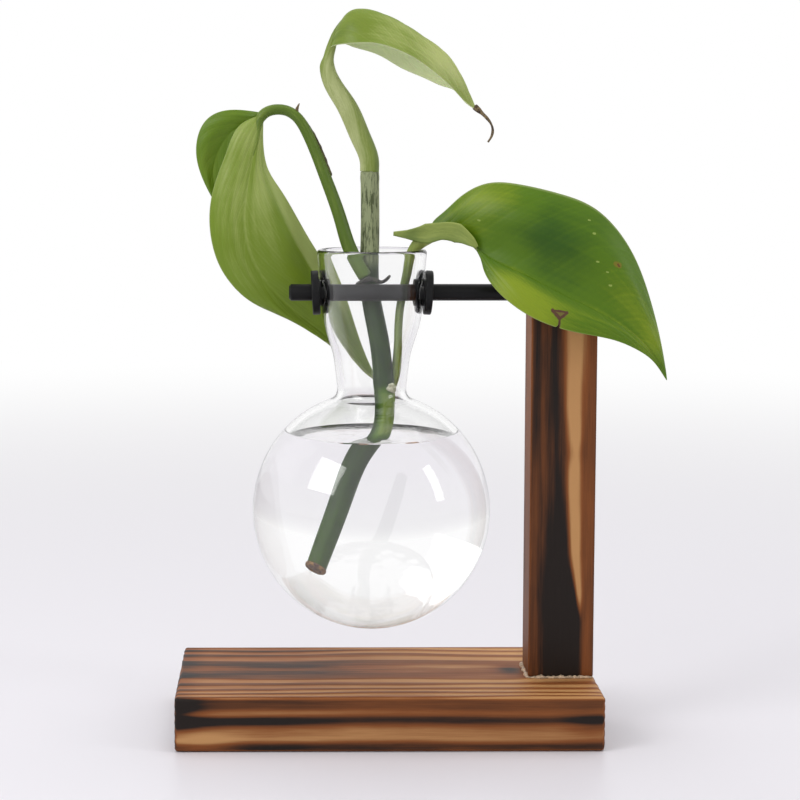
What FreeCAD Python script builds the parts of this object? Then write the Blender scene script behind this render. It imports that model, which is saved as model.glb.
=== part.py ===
import FreeCAD, Part
import math
import os
from FreeCAD import Placement, Rotation, Vector

# A propagation vase: a clear round flask with a climbing-plant cutting in water. The flask hangs on a
# black rod, held in rubber grommets, beside a post that stands on a base board of scorched pine.
# Frame: +X runs towards the post, +Y away from the viewer and +Z up. Lengths are in millimetres.
# The origin is the centre of the base board's underside.

# Base board
base_length = 140.0
base_width = 68.0
base_thickness = 18.0
base_edge_round = 1.2

# Post
post_width = 22.0
post_depth = 18.0
post_length = 142.0
post_inset = 0.5
post_edge_round = 0.8

# Rod, fitted in a blind bore in the post
rod_radius = 2.8
rod_height = 129.1
rod_free_length = 80.2
rod_seat_depth = 14.0
rod_chamfer = 0.7

# Screws that hold the post from below
screw_radius = 2.0
screw_head_radius = 3.8
screw_length = 40.0
screw_spacing = 9.0
screw_sink = 0.6
screw_slot_width = 1.0
screw_slot_depth = 1.2

# Glue squeezed out round the post's foot
glue_width = 1.3
glue_height = 1.1
glue_slope_share = 0.7

# Flask
post_to_flask_axis = 52.5
bulb_radius = 40.0
bulb_drop = 73.4
glass_wall = 2.0
waist_radius = 11.6
shoulder_round = 3.5
neck_radius_at_rod = 17.2
rim_radius = 18.4
rim_above_rod = 14.4
water_above_bulb_centre = 25.6
rim_round_share = 0.45

# Neck outline between the waist and the rod: shares of that height and of that widening
neck_rise_shares = (0.18, 0.35, 0.52, 0.75)
neck_spread_shares = (0.10, 0.24, 0.53, 0.88)

# Grommets
grommet_flange_radius = 7.4
grommet_flange_thickness = 2.6
grommet_sleeve_radius = 4.5
grommet_sleeve_inside = 0.8
grommet_edge_round = 0.5
flange_trim_share = 0.8

# Clearances and overruns
running_clearance = 0.05
soft_gap = 0.3
cut_overrun = 5.0

# Rings in each stem
rings_per_tube = 15

# Main stem of the cutting
stem_radius = 3.4
stem_cut_thickness = 1.0
stem_cut_taper_share = 0.9
stem_rod_gap = 0.9
stem_wall_gap = 0.4
stem_rim_gap = 1.5
stem_waist_angle = -49.0
stem_bow = 0.8
stem_top_rise = 25.6
stem_top_lean = 2.4
stem_foot_shares = (-0.458, -0.584, -0.355)
stem_surface_shares = (0.05, -0.245, 0.674)
stem_taper_shares = (0.95, 0.97, 1.0, 1.02, 1.0, 0.97, 0.95)

# Scar and dark root on the main stem
scar_radius = 1.3
scar_length = 2.4
scar_place_shares = (0.5, -0.75, 0.2)
scar_taper_share = 0.7
scar_round_share = 0.3
root_radius = 0.85
root_reach = 10.8
root_lift_share = 1.5
root_step_shares = ((-0.40, 0.02, -0.15), (0.07, -0.07, 0.02), (0.32, -0.06, -0.07), (0.60, -0.10, 0.12))

# Tall petiole and its leaf
top_petiole_radius = 3.2
top_petiole_rise = 42.8
top_petiole_sway = 14.1
top_petiole_shares = (
    (0.0, 0.0, 0.0),
    (0.0, 0.0, 0.08),
    (-0.18, 0.0, 0.26),
    (-0.52, -0.04, 0.52),
    (-0.87, -0.08, 0.70),
    (-1.0, -0.11, 0.85),
    (-0.93, -0.13, 0.97),
)
top_petiole_taper_shares = (1.0, 1.0, 0.93, 0.80, 0.71, 0.58, 0.5)
top_stub_length = 4.5
top_stub_radius = 0.9
top_stub_out_shares = (0.5, 0.95, 1.35)
top_stub_rise_shares = (0.0, 0.5, 1.0)
top_stub_taper_shares = (1.0, 1.0, 0.4)
top_leaf_reach = 49.0
top_leaf_depth = 10.0
top_leaf_height = 20.9
dry_tip_length = 11.5
dry_tip_radius = 1.1
dry_tip_shares = (
    (-0.06, 0.0, 0.10),
    (0.22, 0.0, -0.15),
    (0.46, -0.04, -0.52),
    (0.42, -0.08, -0.78),
    (0.33, -0.08, -0.92),
)
dry_tip_taper_shares = (1.0, 0.8, 0.6, 0.5, 0.35)

# Left petiole, which arches over, and its leaf
left_petiole_radius = 2.4
left_petiole_reach = 29.6
left_petiole_rise = 46.5
left_petiole_rim_shares = (-0.445, 0.40)
left_petiole_shares = (
    (-0.10, 0.05, 0.20),
    (-0.28, 0.12, 0.52),
    (-0.49, 0.19, 0.84),
    (-0.60, 0.20, 0.945),
    (-0.71, 0.22, 0.99),
    (-0.82, 0.22, 1.0),
    (-0.93, 0.22, 0.985),
    (-1.0, 0.22, 0.95),
)
left_petiole_taper_shares = (1.0, 1.0, 0.92, 0.85, 0.78, 0.75, 0.75, 0.75, 0.75, 0.75)
left_petiole_foot_share = 0.55
left_husk_radius = 0.8
left_husk_taper_shares = (1.0, 0.8, 0.5)
left_spike_radius = 0.9
left_spike_length = 4.6
left_spike_taper_shares = (1.0, 0.8, 0.25)
left_leaf_reach = 41.1
left_leaf_depth = 9.5
left_leaf_height = 92.0
left_lobe_reach = 22.2
left_lobe_depth = 4.5
left_lobe_height = 34.4

# Right petiole, which leans on the rim, its pale sheath and the large leaf
right_petiole_radius = 1.8
right_petiole_rod_gap = 0.5
right_petiole_rim_gap = 0.7
right_petiole_over_rim = 4.4
right_petiole_rod_shares = (0.72, 0.76)
right_petiole_squeeze_share = 0.9
right_petiole_lean_shares = (0.88, 0.75, 0.45)
right_petiole_shares = ((0.56, -0.31), (0.74, -0.10), (0.72, 0.12), (0.69, 0.27))
right_petiole_height_shares = (0.0, 0.18, 0.52, 0.86)
right_petiole_taper_shares = (1.0, 1.0, 0.78, 0.80, 0.85, 0.88, 0.92, 1.0, 1.15)
sheath_length = 27.0
sheath_depth = 9.0
sheath_height = 4.0
sheath_thickness = 1.5
sheath_corners = 8
sheath_back_share = 0.42
sheath_lift_share = 0.4
sheath_deep_shares = (0.4, 0.6)
right_leaf_reach = 67.6
right_leaf_depth = 22.0
right_leaf_height = 46.6
right_leaf_start_shares = (0.76, -0.1, 0.0)

# Leaf blades
leaf_edge_thickness = 0.3
leaf_blade_thickness = 0.7
leaf_rib_thickness = 1.3
leaf_end_width = 1.4
leaf_crown_share = 0.10

# Where the two halves of each leaf face
top_leaf_facings = ((0, -0.8, 0.6), (0, 0.8, 0.6))
left_leaf_facings = ((-0.2, -1, 0.1), (0.3, -1, 0.1))
right_leaf_facings = ((0, -0.8, 0.6), (0, -0.9, 0.4))

# Each row crosses a leaf from one edge over the midrib to the other edge. A point is given as shares of
# the leaf's reach along X, its depth along Y and its height along Z, from the end of its petiole.
top_leaf_shares = (
    ((0.02, -0.35, 0.03), (0.04, 0.0, 0.26), (0.07, 0.35, 0.07)),
    ((0.13, -0.80, 0.05), (0.13, -0.05, 0.56), (0.15, 0.70, 0.03)),
    ((0.28, -0.95, 0.05), (0.29, -0.10, 0.57), (0.31, 0.75, -0.08)),
    ((0.44, -1.0, -0.05), (0.48, -0.15, 0.38), (0.48, 0.70, -0.30)),
    ((0.60, -0.90, -0.24), (0.66, -0.20, 0.11), (0.65, 0.50, -0.48)),
    ((0.73, -0.70, -0.46), (0.80, -0.20, -0.15), (0.77, 0.30, -0.61)),
    ((0.83, -0.50, -0.66), (0.90, -0.20, -0.51), (0.86, 0.10, -0.70)),
    ((0.91, -0.35, -0.85), (0.95, -0.20, -0.74), (0.92, -0.05, -0.87)),
)
top_leaf_tip_shares = (1.0, -0.20, -1.0)
left_leaf_shares = (
    ((-0.16, -0.11, -0.026), (-0.03, -0.11, -0.055), (0.01, 0.0, -0.067)),
    ((-0.28, -0.21, -0.12), (-0.08, -0.21, -0.16), (0.04, 0.0, -0.18)),
    ((-0.38, -0.21, -0.24), (-0.13, -0.32, -0.29), (0.17, 0.11, -0.28)),
    ((-0.43, -0.16, -0.37), (-0.14, -0.32, -0.41), (0.35, 0.32, -0.42)),
    ((-0.39, -0.11, -0.50), (-0.06, -0.16, -0.54), (0.50, 0.58, -0.53)),
    ((-0.28, 0.0, -0.60), (0.11, 0.11, -0.65), (0.63, 0.79, -0.63)),
    ((-0.10, 0.16, -0.68), (0.31, 0.37, -0.735), (0.72, 0.89, -0.73)),
    ((0.17, 0.37, -0.74), (0.54, 0.63, -0.82), (0.80, 0.95, -0.83)),
    ((0.53, 0.68, -0.83), (0.75, 0.84, -0.91), (0.88, 1.0, -0.91)),
)
left_leaf_tip_shares = (1.0, 1.0, -1.0)
left_lobe_shares = (
    ((-0.23, 0.45, 0.04), (-0.17, 0.45, -0.07), (-0.12, 0.45, -0.17)),
    ((-0.56, 0.70, 0.04), (-0.42, 0.70, -0.15), (-0.28, 0.70, -0.33)),
    ((-0.83, 0.90, -0.04), (-0.60, 0.90, -0.28), (-0.37, 0.90, -0.52)),
    ((-0.98, 1.0, -0.21), (-0.72, 1.0, -0.46), (-0.41, 0.95, -0.68)),
    ((-1.0, 1.0, -0.43), (-0.75, 1.0, -0.63), (-0.44, 0.95, -0.82)),
    ((-0.89, 0.95, -0.66), (-0.70, 0.95, -0.79), (-0.47, 0.95, -0.92)),
)
left_lobe_tip_shares = (-0.60, 0.90, -1.0)
right_leaf_shares = (
    ((-0.11, 0.10, 0.07), (0.01, -0.06, -0.02), (-0.02, -0.10, -0.07)),
    ((-0.07, 0.08, 0.17), (0.03, -0.10, -0.05), (0.02, -0.18, -0.13)),
    ((0.01, 0.0, 0.28), (0.07, -0.20, -0.08), (0.08, -0.30, -0.18)),
    ((0.12, -0.12, 0.35), (0.14, -0.34, -0.14), (0.13, -0.45, -0.25)),
    ((0.29, -0.27, 0.36), (0.28, -0.57, -0.24), (0.22, -0.75, -0.43)),
    ((0.50, -0.41, 0.29), (0.46, -0.75, -0.37), (0.38, -0.93, -0.58)),
    ((0.68, -0.50, 0.17), (0.63, -0.86, -0.49), (0.56, -1.0, -0.66)),
    ((0.82, -0.59, -0.07), (0.76, -0.91, -0.60), (0.73, -1.0, -0.71)),
    ((0.91, -0.68, -0.38), (0.88, -0.91, -0.74), (0.86, -0.95, -0.79)),
    ((0.97, -0.78, -0.72), (0.955, -0.88, -0.88), (0.94, -0.91, -0.88)),
)
right_leaf_tip_shares = (1.0, -0.86, -1.0)
sheath_shares = (
    (0.0, 0.0, 0.05),
    (0.16, -0.11, 0.0),
    (0.41, -0.33, 0.08),
    (0.57, -0.50, 0.30),
    (0.78, -0.67, 0.15),
    (0.93, -0.94, -0.50),
    (1.0, -1.0, -0.97),
)
sheath_swell_shares = (0.18, 0.38, 0.88, 0.75, 0.85, 0.45, 0.15)

# Sizes worked out from the ones above
base_top = base_thickness
post_right = base_length / 2 - post_inset
post_left = post_right - post_width
rod_z = base_top + rod_height
rod_end_x = post_left - rod_free_length
axis_x = post_left - post_to_flask_axis
bulb_z = rod_z - bulb_drop
rim_z = rod_z + rim_above_rod
inner_bulb_radius = bulb_radius - glass_wall
inner_waist_radius = waist_radius - glass_wall
inner_rim_radius = rim_radius - glass_wall
shoulder_x = waist_radius + shoulder_round
waist_z = bulb_z + math.sqrt((bulb_radius + shoulder_round) ** 2 - shoulder_x ** 2)
grommet_hole_radius = grommet_sleeve_radius + running_clearance


def rounded_box(length, width, height, corner, edge_round):
    box = Part.makeBox(length, width, height, corner)
    return box.makeFillet(edge_round, box.Edges)


def tangent_at(points, index):
    before = points[max(index - 1, 0)]
    after = points[min(index + 1, len(points) - 1)]
    return (after - before).normalize()


def section_frames(points):
    # Each section keeps the last one's sideways direction, so that the tube doesn't twist.
    sideways = Vector(1, 0, 0)
    frames = []
    for index in range(len(points)):
        along = tangent_at(points, index)
        sideways = (sideways - along * sideways.dot(along)).normalize()
        frames.append((along, sideways, along.cross(sideways)))
    return frames


def outward_solid(shape):
    if shape.Volume < 0:
        shape.reverse()
    return shape


def radius_along(share, stations, radii):
    for (low, high), (start, end) in zip(zip(stations, stations[1:]), zip(radii, radii[1:])):
        if share <= high:
            return start + (end - start) * (share - low) / (high - low)
    return radii[-1]


def tube(points, radii):
    # A tapered stem: its rings are spread evenly along one smooth line through the points.
    line = Part.BSplineCurve()
    line.interpolate(points)
    ends = [line.length(line.FirstParameter, line.parameter(point)) for point in points]
    stations = [end / ends[-1] for end in ends]
    centres = line.discretize(Number=rings_per_tube)
    wires = []
    for index, (centre, frame) in enumerate(zip(centres, section_frames(centres))):
        along, sideways, upward = frame
        ring = Part.Wire(Part.makeCircle(radius_along(index / (rings_per_tube - 1), stations, radii)))
        ring.Placement = Placement(centre, Rotation(sideways, upward, along, "ZXY"))
        wires.append(ring)
    return outward_solid(Part.makeLoft(wires, True, False))


def largest_solid(shape):
    return max(shape.Solids, key=lambda solid: solid.Volume)


def without(shape, *others):
    for other in others:
        shape = shape.cut(other)
    return largest_solid(shape)


def place(shares, spans, start):
    return start + Vector(*(share * span for share, span in zip(shares, spans)))


# Leaves
def blade_rows(row, facings):
    # Five points across the blade, lifted and lowered by half the thickness there.
    first, rib, last = row
    first_normal, last_normal = [Vector(*facing).normalize() for facing in facings]
    rib_normal = (first_normal + last_normal).normalize()
    first_middle = (first + rib) / 2 + first_normal * leaf_crown_share * (rib - first).Length
    last_middle = (last + rib) / 2 + last_normal * leaf_crown_share * (last - rib).Length
    points = (first, first_middle, rib, last_middle, last)
    normals = (first_normal, first_normal, rib_normal, last_normal, last_normal)
    thicknesses = (
        leaf_edge_thickness, leaf_blade_thickness, leaf_rib_thickness,
        leaf_blade_thickness, leaf_edge_thickness,
    )
    upper = [p + n * t / 2 for p, n, t in zip(points, normals, thicknesses)]
    lower = [p - n * t / 2 for p, n, t in zip(points, normals, thicknesses)]
    return upper, lower


def end_row(middle, next_row, rib_share):
    across = (next_row[-1] - next_row[0]).normalize() * leaf_end_width
    return [middle - across * rib_share, middle, middle + across * (1 - rib_share)]


def mean_rib_share(rows):
    # How far across the blade the midrib lies, taken over all rows.
    shares = []
    for first, rib, last in rows:
        first_side = (rib - first).Length
        shares.append(first_side / (first_side + (last - rib).Length))
    return sum(shares) / len(shares)


def leaf(start, spans, row_shares, tip_shares, facings):
    rows = [[place(shares, spans, start) for shares in row] for row in row_shares]
    tip = place(tip_shares, spans, start)
    rib_share = mean_rib_share(rows)
    rows = [end_row(start, rows[0], rib_share)] + rows + [end_row(tip, rows[-1], rib_share)]
    grids = [blade_rows(row, facings) for row in rows]
    upper = Part.BSplineSurface()
    upper.interpolate([grid[0] for grid in grids])
    lower = Part.BSplineSurface()
    lower.interpolate([grid[1] for grid in grids])
    faces = [upper.toShape(), lower.toShape()]
    for place_in_bounds in range(4):
        borders = []
        for surface in (upper, lower):
            limit = surface.bounds()[place_in_bounds]
            border = surface.uIso(limit) if place_in_bounds < 2 else surface.vIso(limit)
            borders.append(border.toShape())
        faces.append(Part.makeRuledSurface(borders[0], borders[1], 1))
    shell = Part.makeShell(faces)
    shell.sewShape()
    return outward_solid(Part.makeSolid(shell))


# Stand
def base_board():
    corner = Vector(-base_length / 2, -base_width / 2, 0)
    board = rounded_box(base_length, base_width, base_thickness, corner, base_edge_round)
    for x in screw_places():
        board = board.cut(screw_body(x, running_clearance))
    return board


def screw_places():
    middle = (post_left + post_right) / 2
    return (middle - screw_spacing / 2, middle + screw_spacing / 2)


def screw_body(x, clearance):
    # A countersunk screw from below, grown by the clearance all round to cut its hole.
    head_radius = screw_head_radius + clearance
    shank_radius = screw_radius + clearance
    cone_height = head_radius - shank_radius
    low = screw_sink - clearance
    head = Part.makeCone(head_radius, shank_radius, cone_height, Vector(x, 0, low))
    shank = Part.makeCylinder(shank_radius, screw_length + 2 * clearance, Vector(x, 0, low))
    body = head.fuse(shank)
    if clearance > 0:
        body = body.fuse(Part.makeCylinder(head_radius, low + cut_overrun, Vector(x, 0, -cut_overrun)))
    return body


def post_screws():
    screws = []
    for x in screw_places():
        body = screw_body(x, 0)
        for angle in (0, 90):
            slot = Part.makeBox(
                2 * screw_head_radius, screw_slot_width, screw_slot_depth,
                Vector(-screw_head_radius, -screw_slot_width / 2, 0),
            )
            slot.rotate(Vector(), Vector(0, 0, 1), angle)
            slot.translate(Vector(x, 0, screw_sink))
            slot = slot.common(Part.makeCylinder(screw_radius, screw_length, Vector(x, 0, 0)))
            body = body.cut(slot)
        screws.append(body)
    return Part.makeCompound(screws)


def post():
    corner = Vector(post_left, -post_depth / 2, base_top)
    body = Part.makeBox(post_width, post_depth, post_length, corner)
    upper_edges = [edge for edge in body.Edges if edge.CenterOfMass.z > base_top]
    body = body.makeFillet(post_edge_round, upper_edges)
    bore = Part.makeCylinder(
        rod_radius + running_clearance, rod_seat_depth + running_clearance + cut_overrun,
        Vector(post_left - cut_overrun, 0, rod_z), Vector(1, 0, 0),
    )
    body = body.cut(bore)
    for x in screw_places():
        body = body.cut(screw_body(x, running_clearance))
    return body


def glue_bead():
    # The bead lies along the post's left, front and back sides and slopes away from them.
    bead = Part.makeBox(
        post_width + glue_width, post_depth + 2 * glue_width, glue_height,
        Vector(post_left - glue_width, -post_depth / 2 - glue_width, base_top),
    )
    slopes = []
    for edge in bead.Edges:
        middle = edge.CenterOfMass
        if middle.z > base_top + glue_height / 2 and middle.x < post_right - glue_width:
            slopes.append(edge)
    bead = bead.makeChamfer(glue_height * glue_slope_share, slopes)
    return bead.cut(Part.makeBox(
        post_width + cut_overrun, post_depth, post_length, Vector(post_left, -post_depth / 2, base_top),
    ))


def rod():
    length = rod_free_length + rod_seat_depth
    body = Part.makeCylinder(rod_radius, length, Vector(rod_end_x, 0, rod_z), Vector(1, 0, 0))
    free_end = [edge for edge in body.Edges if edge.CenterOfMass.x < rod_end_x + rod_chamfer]
    free_end = [edge for edge in free_end if len(edge.Vertexes) == 1]
    return body.makeChamfer(rod_chamfer, free_end)


# Flask
def neck_outline(inset):
    heights = [waist_z + share * (rod_z - waist_z) for share in neck_rise_shares]
    radii = [waist_radius + share * (neck_radius_at_rod - waist_radius) for share in neck_spread_shares]
    heights = [waist_z] + heights + [rod_z, rim_z]
    radii = [waist_radius] + radii + [neck_radius_at_rod, rim_radius]
    points = [Vector(radius - inset, 0, height) for radius, height in zip(radii, heights)]
    curve = Part.BSplineCurve()
    climb = Vector(0, 0, rim_z - rod_z)
    flare = Vector(rim_radius - neck_radius_at_rod, 0, rim_z - rod_z)
    curve.interpolate(Points=points, InitialTangent=climb, FinalTangent=flare, Scale=True)
    return curve


def flask_form(inset, rise=0):
    # The flask's outer form, drawn in by the inset all round and carried on upwards by the rise.
    radius = bulb_radius - inset
    corner_round = shoulder_round + inset
    shoulder_centre = Vector(shoulder_x, 0, waist_z)
    to_shoulder = (shoulder_centre - Vector(0, 0, bulb_z)).normalize()
    touch = Vector(0, 0, bulb_z) + to_shoulder * radius
    halfway = (Vector(-1, 0, 0) - to_shoulder).normalize()
    bulb_middle_angle = (math.atan2(to_shoulder.z, to_shoulder.x) - math.pi / 2) / 2
    to_bulb_middle = Vector(math.cos(bulb_middle_angle), 0, math.sin(bulb_middle_angle))
    bulb_middle = Vector(0, 0, bulb_z) + to_bulb_middle * radius
    bulb_low = Vector(0, 0, bulb_z - radius)
    waist = Vector(waist_radius - inset, 0, waist_z)
    rim = Vector(rim_radius - inset, 0, rim_z)
    top = Vector(rim_radius - inset, 0, rim_z + rise)
    edges = [
        Part.Arc(bulb_low, bulb_middle, touch).toShape(),
        Part.Arc(touch, shoulder_centre + halfway * corner_round, waist).toShape(),
        neck_outline(inset).toShape(),
    ]
    if rise > 0:
        edges.append(Part.makeLine(rim, top))
    edges.append(Part.makeLine(top, Vector(0, 0, rim_z + rise)))
    edges.append(Part.makeLine(Vector(0, 0, rim_z + rise), bulb_low))
    face = Part.Face(Part.Wire(edges))
    solid = face.revolve(Vector(), Vector(0, 0, 1), 360)
    solid.translate(Vector(axis_x, 0, 0))
    return solid


def glass_flask():
    glass = flask_form(0).cut(flask_form(glass_wall, cut_overrun))
    rim_edges = [edge for edge in glass.Edges if edge.CenterOfMass.z > rim_z - glass_wall / 2]
    rim_edges = [edge for edge in rim_edges if len(edge.Vertexes) == 1]
    glass = glass.makeFillet(glass_wall * rim_round_share, rim_edges)
    span = 2 * rim_radius + 2 * cut_overrun
    holes = Part.makeCylinder(
        grommet_hole_radius, span, Vector(axis_x - span / 2, 0, rod_z), Vector(1, 0, 0),
    )
    return glass.cut(holes)


def water(stem, cut_end):
    filled = flask_form(glass_wall + running_clearance)
    level = bulb_z + water_above_bulb_centre
    box = Part.makeBox(
        4 * bulb_radius, 4 * bulb_radius, level, Vector(axis_x - 2 * bulb_radius, -2 * bulb_radius, 0),
    )
    return without(filled.common(box), stem, cut_end)


# Grommets
def wall_tilt():
    curve = neck_outline(0)
    slope = curve.tangent(curve.parameter(Vector(neck_radius_at_rod, 0, rod_z)))[0]
    return math.atan2(slope.x, slope.z)


def grommet(side):
    # Side is -1 for the grommet at the rod's free end and 1 for the one at the post.
    tilt = wall_tilt()
    outward = Vector(side * math.cos(tilt), 0, -math.sin(tilt))
    seat = Vector(axis_x + side * neck_radius_at_rod, 0, rod_z) + outward * soft_gap
    flange = Part.makeCylinder(grommet_flange_radius, grommet_flange_thickness, seat, outward)
    flange_rims = [edge for edge in flange.Edges if len(edge.Vertexes) == 1]
    flange = flange.makeFillet(grommet_edge_round, flange_rims)
    flange = flange.cut(flask_form(-soft_gap * flange_trim_share))
    inner_end = Vector(axis_x + side * (neck_radius_at_rod - glass_wall - grommet_sleeve_inside), 0, rod_z)
    sleeve_length = glass_wall + grommet_sleeve_inside + soft_gap + grommet_flange_thickness / 2
    sleeve = Part.makeCylinder(grommet_sleeve_radius, sleeve_length, inner_end, Vector(side, 0, 0))
    bore_length = 2 * (sleeve_length + grommet_flange_thickness) + 2 * cut_overrun
    bore = Part.makeCylinder(
        rod_radius + running_clearance, bore_length,
        inner_end - Vector(side * cut_overrun, 0, 0), Vector(side, 0, 0),
    )
    return largest_solid(flange.fuse(sleeve).cut(bore).removeSplitter())


# Cutting
def stem_points():
    bulb_centre = Vector(axis_x, 0, bulb_z)
    inner_spans = (inner_bulb_radius, inner_bulb_radius, inner_bulb_radius)
    foot = place(stem_foot_shares, inner_spans, bulb_centre)
    surface = place(stem_surface_shares, inner_spans, bulb_centre)
    lean = inner_waist_radius - stem_radius - stem_wall_gap
    angle = math.radians(stem_waist_angle)
    waist = Vector(axis_x + lean * math.cos(angle), lean * math.sin(angle), waist_z)
    crossing = Vector(axis_x - stem_bow / 2, rod_radius + stem_radius + stem_rod_gap, rod_z)
    middle = (waist + crossing) / 2 + Vector(stem_bow, 0, 0)
    rim = Vector(axis_x - stem_bow / 2, inner_rim_radius - stem_radius - stem_rim_gap, rim_z)
    top = rim + Vector(0, stem_top_lean, stem_top_rise)
    return [foot, surface, waist, middle, crossing, rim, top]


def vine_stem():
    return tube(stem_points(), [stem_radius * share for share in stem_taper_shares])


def stem_cut_end(stem):
    # The brown skin of the cut, below the stem's foot.
    points = stem_points()
    radius = stem_radius * stem_taper_shares[0]
    down = (points[0] - points[1]).normalize()
    low_radius = radius * stem_cut_taper_share
    return without(Part.makeCone(radius, low_radius, stem_cut_thickness, points[0], down), stem)


def node_scar(stem, petiole, glass):
    waist = stem_points()[2]
    start = place(scar_place_shares, (stem_radius, stem_radius, scar_length), waist)
    knob = Part.makeCone(scar_radius, scar_radius * scar_taper_share, scar_length, start, Vector(0, 0, 1))
    rims = [edge for edge in knob.Edges if len(edge.Vertexes) == 1]
    knob = knob.makeFillet(scar_radius * scar_round_share, rims)
    return without(knob, stem, petiole, glass)


def aerial_root(stem, left_petiole_shape):
    crossing = stem_points()[4]
    front = crossing + Vector(0, -stem_radius, rod_radius + root_radius * root_lift_share)
    spans = (root_reach, root_reach, root_reach)
    points = [place(shares, spans, front) for shares in root_step_shares]
    return without(tube(points, [root_radius] * len(points)), stem, left_petiole_shape)


def top_petiole_points():
    spans = (top_petiole_sway, top_petiole_sway, top_petiole_rise)
    return [place(shares, spans, stem_points()[-1]) for shares in top_petiole_shares]


def top_petiole(stem):
    stalk = tube(top_petiole_points(), [top_petiole_radius * share for share in top_petiole_taper_shares])
    return without(stalk, stem)


def top_petiole_stub(petiole):
    start = top_petiole_points()[4]
    points = []
    for out_share, rise_share in zip(top_stub_out_shares, top_stub_rise_shares):
        points.append(start + Vector(-top_petiole_radius * out_share, 0, top_stub_length * rise_share))
    return without(tube(points, [top_stub_radius * share for share in top_stub_taper_shares]), petiole)


def top_leaf_spans():
    return (top_leaf_reach, top_leaf_depth, top_leaf_height)


def top_leaf(petiole):
    blade = leaf(
        top_petiole_points()[-1], top_leaf_spans(), top_leaf_shares, top_leaf_tip_shares,
        top_leaf_facings,
    )
    return without(blade, petiole)


def top_leaf_dry_tip(blade):
    start = place(top_leaf_tip_shares, top_leaf_spans(), top_petiole_points()[-1])
    spans = (dry_tip_length, dry_tip_length, dry_tip_length)
    points = [place(shares, spans, start) for shares in dry_tip_shares]
    return without(tube(points, [dry_tip_radius * share for share in dry_tip_taper_shares]), blade)


def left_petiole_points():
    crossing = stem_points()[4]
    foot = Vector(
        crossing.x - stem_radius * left_petiole_foot_share,
        rod_radius + left_petiole_radius,
        rod_z + rod_radius + left_petiole_radius,
    )
    rim = Vector(
        axis_x + left_petiole_rim_shares[0] * inner_rim_radius,
        left_petiole_rim_shares[1] * inner_rim_radius,
        rim_z,
    )
    spans = (left_petiole_reach, left_petiole_reach, left_petiole_rise)
    return [foot, rim] + [place(shares, spans, rim) for shares in left_petiole_shares]


def left_petiole(stem):
    radii = [left_petiole_radius * share for share in left_petiole_taper_shares]
    return without(tube(left_petiole_points(), radii), stem)


def left_petiole_husk(petiole):
    # The dried edge of the sheath runs down the petiole's right side.
    points = []
    for point, share in list(zip(left_petiole_points(), left_petiole_taper_shares))[3:6]:
        points.append(point + Vector(left_petiole_radius * share, 0, left_husk_radius / 2))
    radii = [left_husk_radius * share for share in left_husk_taper_shares]
    return without(tube(points, radii), petiole)


def left_petiole_spike(petiole, husk):
    start = left_petiole_points()[5]
    middle = start + Vector(0, 0, left_spike_length / 2)
    tip = start + Vector(left_spike_radius, 0, left_spike_length)
    radii = [left_spike_radius * share for share in left_spike_taper_shares]
    return without(tube([start, middle, tip], radii), petiole, husk)


def left_leaf(petiole):
    start = left_petiole_points()[-1]
    spans = (left_leaf_reach, left_leaf_depth, left_leaf_height)
    blade = leaf(start, spans, left_leaf_shares, left_leaf_tip_shares, left_leaf_facings)
    return without(blade, petiole)


def left_leaf_lobe(petiole, blade):
    start = left_petiole_points()[-1] + Vector(0, leaf_rib_thickness, leaf_rib_thickness / 2)
    spans = (left_lobe_reach, left_lobe_depth, left_lobe_height)
    lobe = leaf(start, spans, left_lobe_shares, left_lobe_tip_shares, left_leaf_facings)
    return without(lobe, petiole, blade)


def right_petiole_points():
    waist = Vector(axis_x, 0, waist_z)
    reach = inner_waist_radius
    points = []
    rod_rise = rod_z - waist_z
    for (x_share, y_share), height_share in zip(right_petiole_shares, right_petiole_height_shares):
        widening = height_share * (neck_radius_at_rod - waist_radius)
        span = reach + widening
        points.append(waist + Vector(x_share * span, y_share * span, height_share * rod_rise))
    inner_rod_radius = neck_radius_at_rod - glass_wall
    behind_rod = rod_radius + right_petiole_radius * right_petiole_squeeze_share + right_petiole_rod_gap
    low_share, high_share = right_petiole_rod_shares
    points.append(Vector(axis_x + low_share * inner_rod_radius, behind_rod, rod_z))
    points.append(Vector(axis_x + high_share * inner_rod_radius, behind_rod, rod_z + rod_radius))
    at_rim = inner_rim_radius - right_petiole_radius - right_petiole_rim_gap
    above_rod = Vector(axis_x, 0, rod_z)
    points.append(place(right_petiole_lean_shares, (at_rim, behind_rod, rim_above_rod), above_rod))
    points.append(Vector(axis_x + at_rim, 0, rim_z))
    points.append(Vector(axis_x + rim_radius, -right_petiole_radius, rim_z + right_petiole_over_rim))
    return points


def right_petiole(stem):
    radii = [right_petiole_radius * share for share in right_petiole_taper_shares]
    return without(tube(right_petiole_points(), radii), stem)


def sheath_start():
    end = right_petiole_points()[-1]
    return end + Vector(-sheath_back_share * sheath_length, 0, sheath_lift_share * right_petiole_radius)


def right_leaf_sheath(petiole):
    # A pale trough that wraps the leaf's base, with a free point towards the flask.
    spans = (sheath_length, sheath_depth, sheath_height)
    points = [place(shares, spans, sheath_start()) for shares in sheath_shares]
    wires = []
    for index, (point, swell) in enumerate(zip(points, sheath_swell_shares)):
        along = tangent_at(points, index)
        level = Vector(0, 0, 1).cross(along).normalize()
        corners = []
        least_share, swell_share = sheath_deep_shares
        for turn in range(sheath_corners):
            angle = math.radians(turn * 360 / sheath_corners)
            high = sheath_height * swell * math.sin(angle)
            deep = sheath_thickness * (least_share + swell_share * swell) * math.cos(angle)
            corners.append(point + along.cross(level) * high + level * deep)
        curve = Part.BSplineCurve()
        curve.interpolate(Points=corners, PeriodicFlag=True)
        wires.append(Part.Wire(curve.toShape()))
    return without(outward_solid(Part.makeLoft(wires, True, False)), petiole)


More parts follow.
